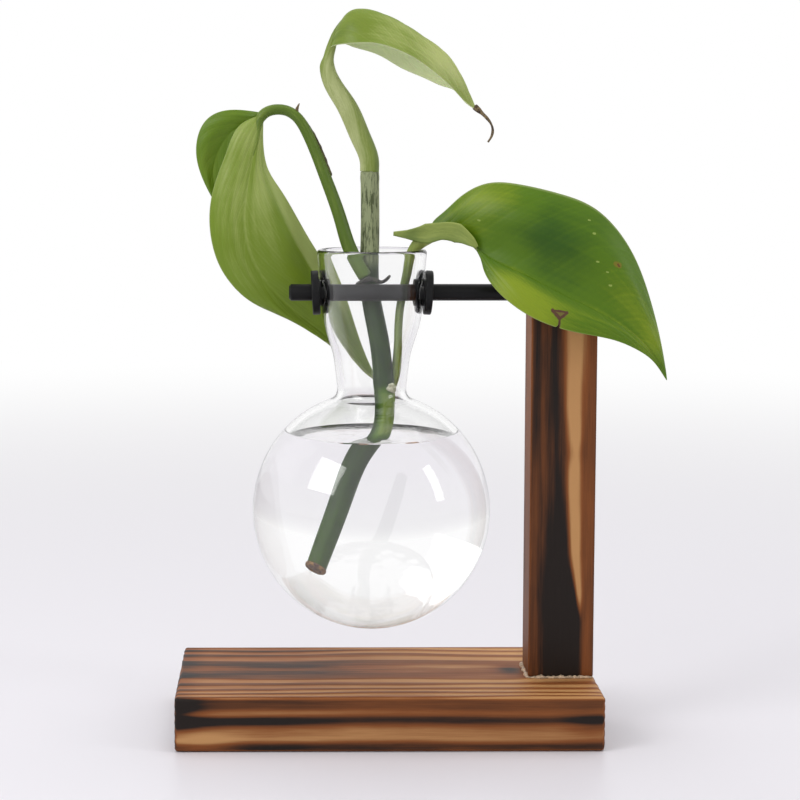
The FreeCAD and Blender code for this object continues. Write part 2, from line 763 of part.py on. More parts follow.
def right_leaf(sheath, petiole):
    start = place(right_leaf_start_shares, (sheath_length, sheath_depth, sheath_height), sheath_start())
    spans = (right_leaf_reach, right_leaf_depth, right_leaf_height)
    blade = leaf(start, spans, right_leaf_shares, right_leaf_tip_shares, right_leaf_facings)
    return without(blade, sheath, petiole)


def build():
    stem = vine_stem()
    cut_end = stem_cut_end(stem)
    left_stalk = left_petiole(stem)
    right_stalk = right_petiole(stem)
    top_stalk = top_petiole(stem)
    husk = left_petiole_husk(left_stalk)
    left_blade = left_leaf(left_stalk)
    top_blade = top_leaf(top_stalk)
    sheath = right_leaf_sheath(right_stalk)
    glass = glass_flask()
    return {
        "base_board": base_board(),
        "post": post(),
        "post_screws": post_screws(),
        "glue_bead": glue_bead(),
        "rod": rod(),
        "left_grommet": grommet(-1),
        "right_grommet": grommet(1),
        "glass_flask": glass,
        "water": water(stem, cut_end),
        "vine_stem": stem,
        "stem_cut_end": cut_end,
        "node_scar": node_scar(stem, right_stalk, glass),
        "aerial_root": aerial_root(stem, left_stalk),
        "top_petiole": top_stalk,
        "top_petiole_stub": top_petiole_stub(top_stalk),
        "top_leaf": top_blade,
        "top_leaf_dry_tip": top_leaf_dry_tip(top_blade),
        "left_petiole": left_stalk,
        "left_petiole_husk": husk,
        "left_petiole_spike": left_petiole_spike(left_stalk, husk),
        "left_leaf": left_blade,
        "left_leaf_lobe": left_leaf_lobe(left_stalk, left_blade),
        "right_petiole": right_stalk,
        "right_leaf_sheath": sheath,
        "right_leaf": right_leaf(sheath, right_stalk),
    }


os.makedirs("parts", exist_ok=True)
for name, shape in build().items():
    print(f"{name:20s} solids {len(shape.Solids)} volume {shape.Volume:10.1f} valid {shape.isValid()}")
    shape.exportStep(f"parts/{name}.step")
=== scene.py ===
import itertools
import math

import bmesh
import bpy
import numpy as np
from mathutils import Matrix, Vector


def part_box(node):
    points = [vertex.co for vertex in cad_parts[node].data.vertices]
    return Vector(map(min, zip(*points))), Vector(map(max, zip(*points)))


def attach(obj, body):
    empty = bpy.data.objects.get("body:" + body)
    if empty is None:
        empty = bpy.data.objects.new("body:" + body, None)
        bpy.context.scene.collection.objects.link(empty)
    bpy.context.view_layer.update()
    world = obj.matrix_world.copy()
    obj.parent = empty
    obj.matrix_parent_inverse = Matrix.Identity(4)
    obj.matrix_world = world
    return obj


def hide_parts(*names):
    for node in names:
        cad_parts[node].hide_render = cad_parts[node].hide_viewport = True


bl_info = {
    "name": "Propagation vase",
    "version": (1, 0, 0),
    "blender": (4, 5, 0),
    "location": "3D View > Sidebar > Vase",
    "description": "Dresses the solids of a propagation vase: scorched pine stand, glass flask and cutting",
    "category": "Object",
}

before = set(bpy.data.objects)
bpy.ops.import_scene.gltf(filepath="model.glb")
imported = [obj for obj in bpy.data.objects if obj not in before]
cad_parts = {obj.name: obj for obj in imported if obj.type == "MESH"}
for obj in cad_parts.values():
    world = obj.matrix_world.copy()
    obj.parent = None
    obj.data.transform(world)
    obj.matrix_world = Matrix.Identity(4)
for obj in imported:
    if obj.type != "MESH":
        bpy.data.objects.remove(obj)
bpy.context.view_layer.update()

# Shapes are worked out in millimetres, and a piece's mesh is scaled to metres when it is made.
MM = 0.001


def node_box(node):
    """A CAD node's lowest and highest corners, in millimetres."""
    low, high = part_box(node)
    return np.array(low) / MM, np.array(high) / MM


base_low, base_high = node_box("base_board")
post_low, post_high = node_box("post")
rod_low, rod_high = node_box("rod")
flask_low, flask_high = node_box("glass_flask")
water_high = node_box("water")[1]

# Flask, as in the part's source
axis_x = (flask_low[0] + flask_high[0]) / 2
bulb_radius = (flask_high[0] - flask_low[0]) / 2
bulb_z = flask_low[2] + bulb_radius
rim_z = flask_high[2]
rod_z = (rod_low[2] + rod_high[2]) / 2
rod_radius = (rod_high[2] - rod_low[2]) / 2
glass_wall = 2.0
waist_radius = 11.6
shoulder_round = 3.5
neck_radius_at_rod = 17.2
rim_radius = 18.4
neck_rise_shares = (0.18, 0.35, 0.52, 0.75)
neck_spread_shares = (0.10, 0.24, 0.53, 0.88)
shoulder_x = waist_radius + shoulder_round
waist_z = bulb_z + math.sqrt((bulb_radius + shoulder_round) ** 2 - shoulder_x ** 2)
inner_bulb_radius = bulb_radius - glass_wall
inner_waist_radius = waist_radius - glass_wall
inner_rim_radius = rim_radius - glass_wall
grommet_hole_radius = 4.55
running_clearance = 0.05
glass_inset = 0.02
water_overlap = 0.1
water_level_drop = 0.2
meniscus_reach = 0.5
stem_climb = 0.35
water_top_band = 0.2
water_still_edge = 0.6
glass_sharp_angle = 50
water_ripples = ((0.24, (7, 4, 50), 51), (0.12, (3, 2, 50), 53))

# Boards, screws and bore. The steps are the sides of a mesh face along X, Y and Z.
base_edge_round = 1.2
base_steps = (1.2, 0.42, 0.42)
post_edge_round = 0.8
post_steps = (0.4, 0.4, 1.2)
board_inset = 0.03
board_sharp_angle = 40
ring_line_rise = (0.30, 0.62)
ring_line_fall = (1.0, 0.84)
screw_head_radius = 3.8
screw_shank_radius = 2.0
bore_depth = 14.1
cutter_reach = 10.0
hole_segments = 64

# Glue round the post's foot
glue_step = 0.28
glue_end_gap = 0.4
glue_root = 0.3

# Main stem of the cutting
stem_radius = 3.4
stem_cut_thickness = 1.0
stem_rod_gap = 0.9
stem_wall_gap = 0.4
stem_rim_gap = 1.5
stem_waist_angle = -49.0
stem_bow = 0.8
stem_top_rise = 25.6
stem_top_lean = 2.4
stem_foot_shares = (-0.458, -0.584, -0.355)
stem_surface_shares = (0.05, -0.245, 0.674)
stem_taper_shares = (0.95, 0.97, 1.0, 1.02, 1.0, 0.97, 0.95)
stem_bend_shares = (0.99, 1.05)
scar_radius = 1.3
scar_length = 2.4
scar_place_shares = (0.5, -0.75, 0.2)
root_radius = 0.85
root_reach = 10.8
root_lift_share = 1.5
root_step_shares = ((-0.40, 0.02, -0.15), (0.07, -0.07, 0.02), (0.32, -0.06, -0.07), (0.60, -0.10, 0.12))

# Tall petiole and its leaf
top_petiole_radius = 3.2
top_petiole_rise = 42.8
top_petiole_sway = 14.1
top_petiole_shares = (
    (0.0, 0.0, 0.0),
    (0.0, 0.0, 0.08),
    (-0.18, 0.0, 0.26),
    (-0.52, -0.04, 0.52),
    (-0.87, -0.08, 0.70),
    (-1.0, -0.11, 0.85),
    (-0.93, -0.13, 0.97),
)
top_petiole_taper_shares = (1.0, 1.0, 0.93, 0.80, 0.71, 0.58, 0.5)
rib_taper_shares = (0.36, 0.14)
top_stub_length = 4.5
top_stub_radius = 0.9
top_leaf_spans = (49.0, 10.0, 20.9)
dry_tip_length = 11.5
dry_tip_radius = 1.1
dry_tip_shares = (
    (-0.06, 0.0, 0.10),
    (0.22, 0.0, -0.15),
    (0.46, -0.04, -0.52),
    (0.42, -0.08, -0.78),
    (0.33, -0.08, -0.92),
)
dry_tip_taper_shares = (1.0, 0.8, 0.6, 0.5, 0.35)

# Left petiole and its leaf
left_petiole_radius = 2.4
left_petiole_reach = 29.6
left_petiole_rise = 46.5
left_petiole_rim_shares = (-0.445, 0.40)
left_petiole_foot_share = 0.55
left_petiole_shares = (
    (-0.10, 0.05, 0.20),
    (-0.28, 0.12, 0.52),
    (-0.49, 0.19, 0.84),
    (-0.60, 0.20, 0.945),
    (-0.71, 0.22, 0.99),
    (-0.82, 0.22, 1.0),
    (-0.93, 0.22, 0.985),
    (-1.0, 0.22, 0.95),
)
left_petiole_taper_shares = (1.0, 1.0, 0.92, 0.85, 0.78, 0.75, 0.75, 0.75, 0.75, 0.75)
left_husk_radius = 0.8
left_spike_radius = 0.9
left_spike_length = 4.6
left_leaf_spans = (41.1, 9.5, 92.0)
left_lobe_spans = (22.2, 4.5, 34.4)

# Right petiole, its pale sheath and the large leaf
right_petiole_radius = 1.8
right_petiole_rod_gap = 0.5
right_petiole_rim_gap = 0.7
right_petiole_over_rim = 4.4
right_petiole_rod_shares = (0.72, 0.76)
right_petiole_squeeze_share = 0.9
right_petiole_lean_shares = (0.88, 0.75, 0.45)
right_petiole_shares = ((0.56, -0.31), (0.74, -0.10), (0.72, 0.12), (0.69, 0.27))
right_petiole_height_shares = (0.0, 0.18, 0.52, 0.86)
right_petiole_taper_shares = (1.0, 1.0, 0.78, 0.80, 0.85, 0.88, 0.92, 1.0, 1.5)
sheath_spans = (27.0, 9.0, 4.0)
sheath_thickness = 1.5
sheath_back_share = 0.42
sheath_lift_share = 0.4
right_leaf_spans = (67.6, 22.0, 46.6)
right_leaf_start_shares = (0.76, -0.1, 0.0)

# Marks on the right leaf: pale specks as (x, z, radius), and the brown strokes of the bite in its lower edge as
# (x, z) of their start and end, and a radius
leaf_specks = (
    (66.2, 167.7, 0.42), (67.1, 158.6, 0.36), (71.1, 151.0, 0.40),
    (29.5, 171.6, 0.36), (70.2, 155.3, 0.30), (64.8, 171.9, 0.30),
)
leaf_bite = (
    ((52.6, 143.0), (54.8, 140.4), 0.75),
    ((54.8, 140.4), (57.2, 142.2), 0.55),
    ((52.8, 143.0), (57.2, 142.4), 0.45),
    ((54.8, 140.4), (54.6, 137.8), 0.50),
)

# Leaf blades
leaf_edge_thickness = 0.3
leaf_blade_thickness = 0.7
leaf_rib_thickness = 1.3
leaf_end_width = 1.4
leaf_tip_width = 0.5
leaf_crown_share = 0.10
leaf_ruffle = 0.25
vein_curve = 1.25
top_leaf_facings = ((0, -0.8, 0.6), (0, 0.8, 0.6))
left_leaf_facings = ((-0.2, -1, 0.1), (0.3, -1, 0.1))
right_leaf_facings = ((0, -0.8, 0.6), (0, -0.9, 0.4))

# Rows across each leaf, as shares of its spans, from the end of its petiole
top_leaf_shares = (
    ((0.02, -0.35, 0.03), (0.04, 0.0, 0.26), (0.07, 0.35, 0.07)),
    ((0.13, -0.80, 0.05), (0.13, -0.05, 0.56), (0.15, 0.70, 0.03)),
    ((0.28, -0.95, 0.05), (0.29, -0.10, 0.57), (0.31, 0.75, -0.08)),
    ((0.44, -1.0, -0.05), (0.48, -0.15, 0.38), (0.48, 0.70, -0.30)),
    ((0.60, -0.90, -0.24), (0.66, -0.20, 0.11), (0.65, 0.50, -0.48)),
    ((0.73, -0.70, -0.46), (0.80, -0.20, -0.15), (0.77, 0.30, -0.61)),
    ((0.83, -0.50, -0.66), (0.90, -0.20, -0.51), (0.86, 0.10, -0.70)),
    ((0.91, -0.35, -0.85), (0.95, -0.20, -0.74), (0.92, -0.05, -0.87)),
)
top_leaf_tip_shares = (1.0, -0.20, -1.0)
left_leaf_shares = (
    ((-0.16, -0.11, -0.026), (-0.03, -0.11, -0.055), (0.01, 0.0, -0.067)),
    ((-0.28, -0.21, -0.12), (-0.08, -0.21, -0.16), (0.04, 0.0, -0.18)),
    ((-0.38, -0.21, -0.24), (-0.13, -0.32, -0.29), (0.17, 0.11, -0.28)),
    ((-0.43, -0.16, -0.37), (-0.14, -0.32, -0.41), (0.35, 0.32, -0.42)),
    ((-0.39, -0.11, -0.50), (-0.06, -0.16, -0.54), (0.50, 0.58, -0.53)),
    ((-0.28, 0.0, -0.60), (0.11, 0.11, -0.65), (0.63, 0.79, -0.63)),
    ((-0.10, 0.16, -0.68), (0.31, 0.37, -0.735), (0.72, 0.89, -0.73)),
    ((0.17, 0.37, -0.74), (0.54, 0.63, -0.82), (0.80, 0.95, -0.83)),
    ((0.53, 0.68, -0.83), (0.75, 0.84, -0.91), (0.88, 1.0, -0.91)),
)
left_leaf_tip_shares = (1.0, 1.0, -1.0)
left_lobe_shares = (
    ((-0.23, 0.45, 0.04), (-0.17, 0.45, -0.07), (-0.12, 0.45, -0.17)),
    ((-0.56, 0.70, 0.04), (-0.42, 0.70, -0.15), (-0.28, 0.70, -0.33)),
    ((-0.83, 0.90, -0.04), (-0.60, 0.90, -0.28), (-0.37, 0.90, -0.52)),
    ((-0.98, 1.0, -0.21), (-0.72, 1.0, -0.46), (-0.41, 0.95, -0.68)),
    ((-1.0, 1.0, -0.43), (-0.75, 1.0, -0.63), (-0.44, 0.95, -0.82)),
    ((-0.89, 0.95, -0.66), (-0.70, 0.95, -0.79), (-0.47, 0.95, -0.92)),
)
left_lobe_tip_shares = (-0.60, 0.90, -1.0)
right_leaf_shares = (
    ((-0.11, 0.10, 0.06), (-0.02, 0.0, 0.01), (0.03, -0.06, -0.02)),
    ((-0.07, 0.08, 0.14), (0.01, -0.06, 0.0), (0.07, -0.13, -0.05)),
    ((0.01, 0.0, 0.25), (0.06, -0.18, -0.04), (0.11, -0.27, -0.12)),
    ((0.12, -0.12, 0.35), (0.14, -0.34, -0.14), (0.13, -0.45, -0.25)),
    ((0.29, -0.27, 0.36), (0.28, -0.57, -0.24), (0.22, -0.75, -0.43)),
    ((0.50, -0.41, 0.29), (0.46, -0.75, -0.37), (0.38, -0.93, -0.58)),
    ((0.68, -0.50, 0.17), (0.63, -0.86, -0.49), (0.56, -1.0, -0.66)),
    ((0.82, -0.59, -0.07), (0.76, -0.91, -0.60), (0.73, -1.0, -0.71)),
    ((0.91, -0.68, -0.38), (0.88, -0.91, -0.74), (0.86, -0.95, -0.79)),
    ((0.97, -0.78, -0.72), (0.955, -0.88, -0.88), (0.94, -0.91, -0.88)),
)
right_leaf_tip_shares = (1.0, -0.86, -1.0)
sheath_shares = (
    (0.0, 0.0, 0.05),
    (0.16, -0.11, 0.0),
    (0.41, -0.33, 0.08),
    (0.57, -0.50, 0.30),
    (0.78, -0.67, 0.15),
    (0.93, -0.94, -0.50),
    (1.0, -1.0, -0.97),
)
sheath_swell_shares = (0.18, 0.38, 0.88, 0.75, 0.85, 0.45, 0.15)

# Fineness of lines, the rounded ends of stalks as (radius, reach) shares, and what scatters the noise
fine_steps_per_point = 40
pole_radius = 1e-6
cap_steps = ((0.55, 0.85), (0.88, 0.45))
noise_directions = (12.9898, 78.233, 37.719)
noise_seed_step = 19.19
noise_scatter = 43758.5453

# Stage, in metres and degrees. A lamp is its name, direction, distance, width and height, watts, and whether
# gloss and glass show it.
floor_half_size = 3.0
floor_drop = 0.0001
floor_fade = (0.15, 1.15)
lamp_target = (0, 0, 0.12)
lamps = (
    ("left_soft_box", (-0.70, -0.47, 0.54), 0.90, (0.46, 0.46), 2.7, True),
    ("right_strip", (0.86, -0.33, 0.372), 0.80, (0.10, 0.42), 0.75, True),
    ("top_soft_box", (0.05, 0.15, 1.0), 1.10, (0.9, 0.7), 4.9, False),
)
camera_place = (-0.032476, -0.694105, 0.199668)
camera_pitch_down = 5.53
camera_turn_right = 0.396
camera_shift = (0.12, -0.08)


def tone(red, green, blue):
    """A colour named from 0 to 255, in the linear values that shaders take."""
    shares = [value / 255 for value in (red, green, blue)]
    return tuple(s / 12.92 if s <= 0.04045 else ((s + 0.055) / 1.055) ** 2.4 for s in shares)


def colour_setting(name, description, default):
    return bpy.props.FloatVectorProperty(
        name=name, description=description, default=default, subtype="COLOR", size=3, min=0, max=1,
    )


def length_setting(name, description, default):
    return bpy.props.FloatProperty(
        name=name, description=description, default=default * MM, min=0, subtype="DISTANCE", unit="LENGTH",
        precision=5,
    )


class WoodSettings(bpy.types.PropertyGroup):
    """Sizes and colours of the scorched pine and its glue"""
    ring_thickness: length_setting("Ring thickness", "Distance between two growth rings", 2.2)
    groove_depth: length_setting("Groove depth", "How far the soft wood is burnt and brushed away", 0.16)
    tan: colour_setting("Tan", "Wood that the flame hardly touched", tone(198, 148, 96))
    brown: colour_setting("Brown", "Toasted wood", tone(136, 78, 38))
    char: colour_setting("Char", "Burnt wood", tone(28, 20, 16))
    glue: colour_setting("Glue", "Dried glue round the post's foot", tone(214, 186, 156))


class FittingSettings(bpy.types.PropertyGroup):
    """Colours of the rod, the grommets and the screws"""
    rod: colour_setting("Rod", "Black rod", tone(16, 16, 17))
    rubber: colour_setting("Rubber", "Grommets", tone(19, 19, 20))
    steel: colour_setting("Steel", "Screws under the base", tone(176, 174, 168))


class FlaskSettings(bpy.types.PropertyGroup):
    """Glass and water"""
    segments: bpy.props.IntProperty(
        name="Segments", description="Faces round the flask and the water", default=160, min=24, max=512,
    )
    meniscus: length_setting("Meniscus", "How far the water climbs at the glass", 0.7)
    glass: colour_setting("Glass", "Tint of the glass", (1.0, 1.0, 1.0))
    water: colour_setting("Water", "Tint of the water", (1.0, 1.0, 1.0))


class PlantSettings(bpy.types.PropertyGroup):
    """Sizes and colours of the cutting"""
    vein_depth: length_setting("Vein depth", "Depth of the veins in a leaf", 0.06)
    rib_depth: length_setting("Midrib depth", "Depth of the groove along a leaf's midrib", 0.30)
    top_leaf_dark: colour_setting("Top leaf dark", "Deep green of the top leaf", tone(78, 104, 14))
    top_leaf_middle: colour_setting("Top leaf middle", "Main green of the top leaf", tone(124, 144, 52))
    top_leaf_light: colour_setting("Top leaf light", "Pale green of the top leaf", tone(188, 198, 124))
    # The top leaf's underside: its own paler green, brightened with painted light shining through the leaf
    top_leaf_under_and_glow: colour_setting("Top leaf underside", "Underside of the top leaf", tone(236, 246, 198))
    left_leaf_dark: colour_setting("Left leaf dark", "Deep green of the left leaf", tone(76, 102, 10))
    left_leaf_middle: colour_setting("Left leaf middle", "Main green of the left leaf", tone(118, 142, 38))
    left_leaf_light: colour_setting("Left leaf light", "Pale green of the left leaf", tone(168, 182, 104))
    # The back lobe belongs to the left leaf; its darker greens are painted shade
    back_lobe_dark: colour_setting("Back lobe dark", "Deep green of the back lobe", tone(62, 94, 6))
    back_lobe_middle: colour_setting("Back lobe middle", "Main green of the back lobe", tone(96, 126, 20))
    back_lobe_light: colour_setting("Back lobe light", "Pale green of the back lobe", tone(118, 142, 38))
    right_leaf_dark: colour_setting("Right leaf dark", "Deep green of the right leaf", tone(46, 84, 4))
    right_leaf_middle: colour_setting("Right leaf middle", "Main green of the right leaf", tone(82, 116, 6))
    right_leaf_light: colour_setting("Right leaf light", "Yellow green of the right leaf", tone(134, 154, 30))
    leaf_under: colour_setting("Leaf underside", "Paler green under a leaf", tone(160, 172, 112))
    stalk_dark: colour_setting("Stalk dark", "Dark green of the stem", tone(14, 38, 4))
    stalk_mid: colour_setting("Stalk middle", "Main green of a stalk", tone(66, 96, 18))
    stalk_light: colour_setting("Stalk light", "Pale green of a young stalk", tone(146, 164, 78))
    dry_dark: colour_setting("Dry dark", "Dark brown of the dried ends", tone(58, 44, 36))
    dry_light: colour_setting("Dry light", "Light brown of the dried ends", tone(128, 110, 78))


class StageSettings(bpy.types.PropertyGroup):
    """Floor, lamps and camera"""
    floor: colour_setting("Floor", "Pale floor", tone(238, 235, 241))
    lens: bpy.props.FloatProperty(
        name="Lens", description="Focal length of the camera", default=93.75, min=20, max=300,
        subtype="DISTANCE_CAMERA",
    )
    ambient: bpy.props.FloatProperty(
        name="Ambient", description="Strength of the light from all round", default=0.50, min=0, max=2,
    )


class VaseSettings(bpy.types.PropertyGroup):
    """All settings of the vase"""
    wood: bpy.props.PointerProperty(name="Wood", description="Scorched pine", type=WoodSettings)
    fittings: bpy.props.PointerProperty(name="Fittings", description="Rod and rubber", type=FittingSettings)
    flask: bpy.props.PointerProperty(name="Flask", description="Glass and water", type=FlaskSettings)
    plant: bpy.props.PointerProperty(name="Plant", description="Cutting", type=PlantSettings)
    stage: bpy.props.PointerProperty(name="Stage", description="Floor and lamps", type=StageSettings)


# Curves, noise and soft steps
def cubic_through(stations, values, where, end_slopes=None):
    """A cubic curve through values at stations, read at where. Its ends run straight on, or have given
    slopes."""
    stations = np.asarray(stations, float)
    values = np.asarray(values, float)
    where = np.asarray(where, float)
    count = len(stations)
    shape = (-1,) + (1,) * (values.ndim - 1)
    gaps = np.diff(stations)
    rises = np.diff(values, axis=0) / gaps.reshape(shape)
    matrix = np.zeros((count, count))
    right = np.zeros_like(values)
    matrix[0, 0] = matrix[-1, -1] = 1
    for i in range(1, count - 1):
        matrix[i, i - 1:i + 2] = gaps[i - 1], 2 * (gaps[i - 1] + gaps[i]), gaps[i]
        right[i] = 6 * (rises[i] - rises[i - 1])
    if end_slopes is not None:
        matrix[0, :2] = 2 * gaps[0], gaps[0]
        right[0] = 6 * (rises[0] - end_slopes[0])
        matrix[-1, -2:] = gaps[-1], 2 * gaps[-1]
        right[-1] = 6 * (end_slopes[1] - rises[-1])
    bends = np.linalg.solve(matrix, right.reshape(count, -1)).reshape(values.shape)
    index = np.clip(np.searchsorted(stations, where) - 1, 0, count - 2)
    gap = gaps[index].reshape(shape)
    after = ((stations[index + 1] - where) / gaps[index]).reshape(shape)
    before = 1 - after
    curve = after * values[index] + before * values[index + 1]
    bend = (after ** 3 - after) * bends[index] + (before ** 3 - before) * bends[index + 1]
    return curve + bend * gap ** 2 / 6


def running_total(steps):
    return np.concatenate([[0], np.cumsum(steps)])


def line_stations(points):
    return running_total(np.linalg.norm(np.diff(points, axis=0), axis=1))


def smooth_line(points, count):
    """Evenly spaced points on a smooth line through the given ones, the given ones' shares of its length, and
    that length."""
    points = np.array(points, float)
    stations = line_stations(points)
    fine_stations = np.linspace(0, stations[-1], fine_steps_per_point * len(points))
    fine = cubic_through(stations, points, fine_stations)
    lengths = line_stations(fine)
    wanted = np.linspace(0, lengths[-1], count)
    even = np.stack([np.interp(wanted, lengths, fine[:, axis]) for axis in range(3)], axis=1)
    shares = np.interp(stations, fine_stations, lengths) / lengths[-1]
    return even, shares, lengths[-1]


def soft_noise(places, seed):
    """Smooth values from -1 to 1 that are the same on each run."""
    cell = np.floor(places)
    part = places - cell
    ease = part ** 3 * (part * (part * 6 - 15) + 10)
    total = np.zeros(len(places))
    for corner in itertools.product((0, 1), repeat=3):
        mixed = (cell + corner) @ np.array(noise_directions) + seed * noise_seed_step
        value = np.abs(np.modf(np.sin(mixed) * noise_scatter)[0])
        weight = np.prod(np.where(np.array(corner) == 1, ease, 1 - ease), axis=1)
        total += weight * value
    return total * 2 - 1


def bell(value, centre, width):
    return np.exp(-((value - centre) / width) ** 2)


def rise_between(value, low, high):
    share = np.clip((value - low) / (high - low), 0, 1)
    return share * share * (3 - 2 * share)


def soft_step(value, sharpness):
    """0 well below zero, 1 well above it and soft between."""
    return 0.5 + 0.5 * np.tanh(sharpness * value)


def place(shares, spans, start):
    return np.array(start, float) + np.array(shares, float) * np.array(spans, float)


def unit(vectors):
    vectors = np.asarray(vectors, float)
    return vectors / np.linalg.norm(vectors, axis=-1, keepdims=True)


# Pieces
def make_piece(name, vertices, faces, body, material, node, attributes=None):
    """A mesh from millimetre vertices that rides on a body and stands for a CAD node."""
    mesh = bpy.data.meshes.new(name)
    mesh.from_pydata((np.asarray(vertices) * MM).tolist(), [], faces)
    mesh.validate()
    for label, values in (attributes or {}).items():
        values = np.asarray(values, np.float32)
        kind, key = ("FLOAT", "value") if values.ndim == 1 else ("FLOAT_VECTOR", "vector")
        mesh.attributes.new(label, kind, "POINT").data.foreach_set(key, values.ravel())
    piece = bpy.data.objects.new(name, mesh)
    bpy.context.scene.collection.objects.link(piece)
    turn_faces_out(mesh)
    mesh.shade_smooth()
    mesh.materials.append(material)
    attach(piece, body)
    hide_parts(node)
    return piece


def turn_faces_out(mesh):
    work = bmesh.new()
    work.from_mesh(mesh)
    bmesh.ops.recalc_face_normals(work, faces=work.faces)
    work.to_mesh(mesh)
    work.free()


def cut_with_cylinders(piece, cylinders, sharp_angle):
    """Cuts cylinders, each given by its radii, length, centre and axis, out of a piece."""
    for bottom_radius, top_radius, length, centre, axis in cylinders:
        work = bmesh.new()
        bmesh.ops.create_cone(
            work, cap_ends=True, segments=hole_segments, radius1=bottom_radius * MM, radius2=top_radius * MM,
            depth=length * MM,
        )
        mesh = bpy.data.meshes.new("cutter")
        work.to_mesh(mesh)
        work.free()
        cutter = bpy.data.objects.new("cutter", mesh)
        bpy.context.scene.collection.objects.link(cutter)
        cutter.location = [value * MM for value in centre]
        if axis == "X":
            cutter.rotation_euler = (0, math.pi / 2, 0)
        cut = piece.modifiers.new("cut", "BOOLEAN")
        cut.operation = "DIFFERENCE"
        cut.solver = "EXACT"
        cut.object = cutter
        bpy.context.view_layer.update()
        found = piece.evaluated_get(bpy.context.evaluated_depsgraph_get())
        piece.modifiers.remove(cut)
        old = piece.data
        piece.data = bpy.data.meshes.new_from_object(found)
        piece.data.name = old.name
        bpy.data.meshes.remove(old)
        bpy.data.objects.remove(cutter)
        bpy.data.meshes.remove(mesh)
    piece.data.shade_smooth()
    piece.data.set_sharp_from_angle(angle=math.radians(sharp_angle))


def grid_faces(rows, columns, start=0):
    """Quads between points laid out row by row."""
    faces = []
    for row in range(rows - 1):
        below = start + row * columns
        above = below + columns
        for column in range(columns - 1):
            faces.append((below + column, below + column + 1, above + column + 1, above + column))
    return faces


def tube_faces(rings, sides):
    """Quads between closed rings of points."""
    faces = []
    for below in range(0, (rings - 1) * sides, sides):
        above = below + sides
        for k in range(sides):
            after = (k + 1) % sides
            faces.append((below + k, below + after, above + after, above + k))
    return faces


def cap_faces(ring, sides, pole):
    """Triangles from a closed ring of points to its pole."""
    return [(ring * sides + k, ring * sides + (k + 1) % sides, pole) for k in range(sides)]


def lathe(profile, segments, centre_x):
    """Turns a profile of (radius, height) pairs, from pole to pole, about an upright axis."""
    vertices = []
    faces = []
    rings = []
    turns = np.linspace(0, 2 * math.pi, segments, endpoint=False)
    for radius, height in profile:
        if radius < pole_radius:
            rings.append([len(vertices)])
            vertices.append((centre_x, 0, height))
            continue
        rings.append(list(range(len(vertices), len(vertices) + segments)))
        for turn in turns:
            vertices.append((centre_x + radius * math.cos(turn), radius * math.sin(turn), height))
    for lower, upper in zip(rings, rings[1:]):
        for k in range(segments):
            after = (k + 1) % segments
            if len(lower) == 1:
                faces.append((lower[0], upper[k], upper[after]))
            elif len(upper) == 1:
                faces.append((lower[k], lower[after], upper[0]))
            else:
                faces.append((lower[k], lower[after], upper[after], upper[k]))
    return np.array(vertices), faces


def stalk_frames(centres):
    along = unit(np.gradient(centres, axis=0))
    sideways = np.array((1.0, 0.0, 0.0))
    frames = []
    for direction in along:
        sideways = unit(sideways - direction * sideways.dot(direction))
        frames.append((direction, sideways, np.cross(direction, sideways)))
    return frames


def stalk(points, radii, rings, sides, shape, ends):
    """A stem along a smooth line. Angle 0 is to the right, 90 behind and 270 in front on an upright stem.
    Returns its vertices, faces and the (length along, length around, share along) of each vertex."""
    centres, shares, length = smooth_line(points, rings)
    frames = stalk_frames(centres)
    ring_shares = np.linspace(0, 1, rings)
    ring_radii = np.interp(ring_shares, shares, radii)
    turns = np.linspace(0, 2 * math.pi, sides, endpoint=False)
    sections = [(0, size, -push * ends[0]) for size, push in cap_steps]
    sections += [(index, 1.0, 0.0) for index in range(rings)]
    sections += [(rings - 1, size, push * ends[1]) for size, push in reversed(cap_steps)]
    vertices = []
    marks = []
    for index, size, push in sections:
        direction, sideways, upward = frames[index]
        radius = ring_radii[index]
        share = ring_shares[index]
        centre = centres[index] + direction * push * radius
        for turn, swell in zip(turns, shape(share, turns)):
            reach = radius * size * swell
            vertices.append(centre + sideways * reach * math.cos(turn) + upward * reach * math.sin(turn))
            marks.append((share * length, turn * radius, share))
    faces = tube_faces(len(sections), sides)
    for ring, index, push in ((0, 0, -ends[0]), (len(sections) - 1, rings - 1, ends[1])):
        faces += cap_faces(ring, sides, len(vertices))
        vertices.append(centres[index] + frames[index][0] * push * ring_radii[index])
        marks.append((ring_shares[index] * length, 0, ring_shares[index]))
    return np.array(vertices), faces, np.array(marks)


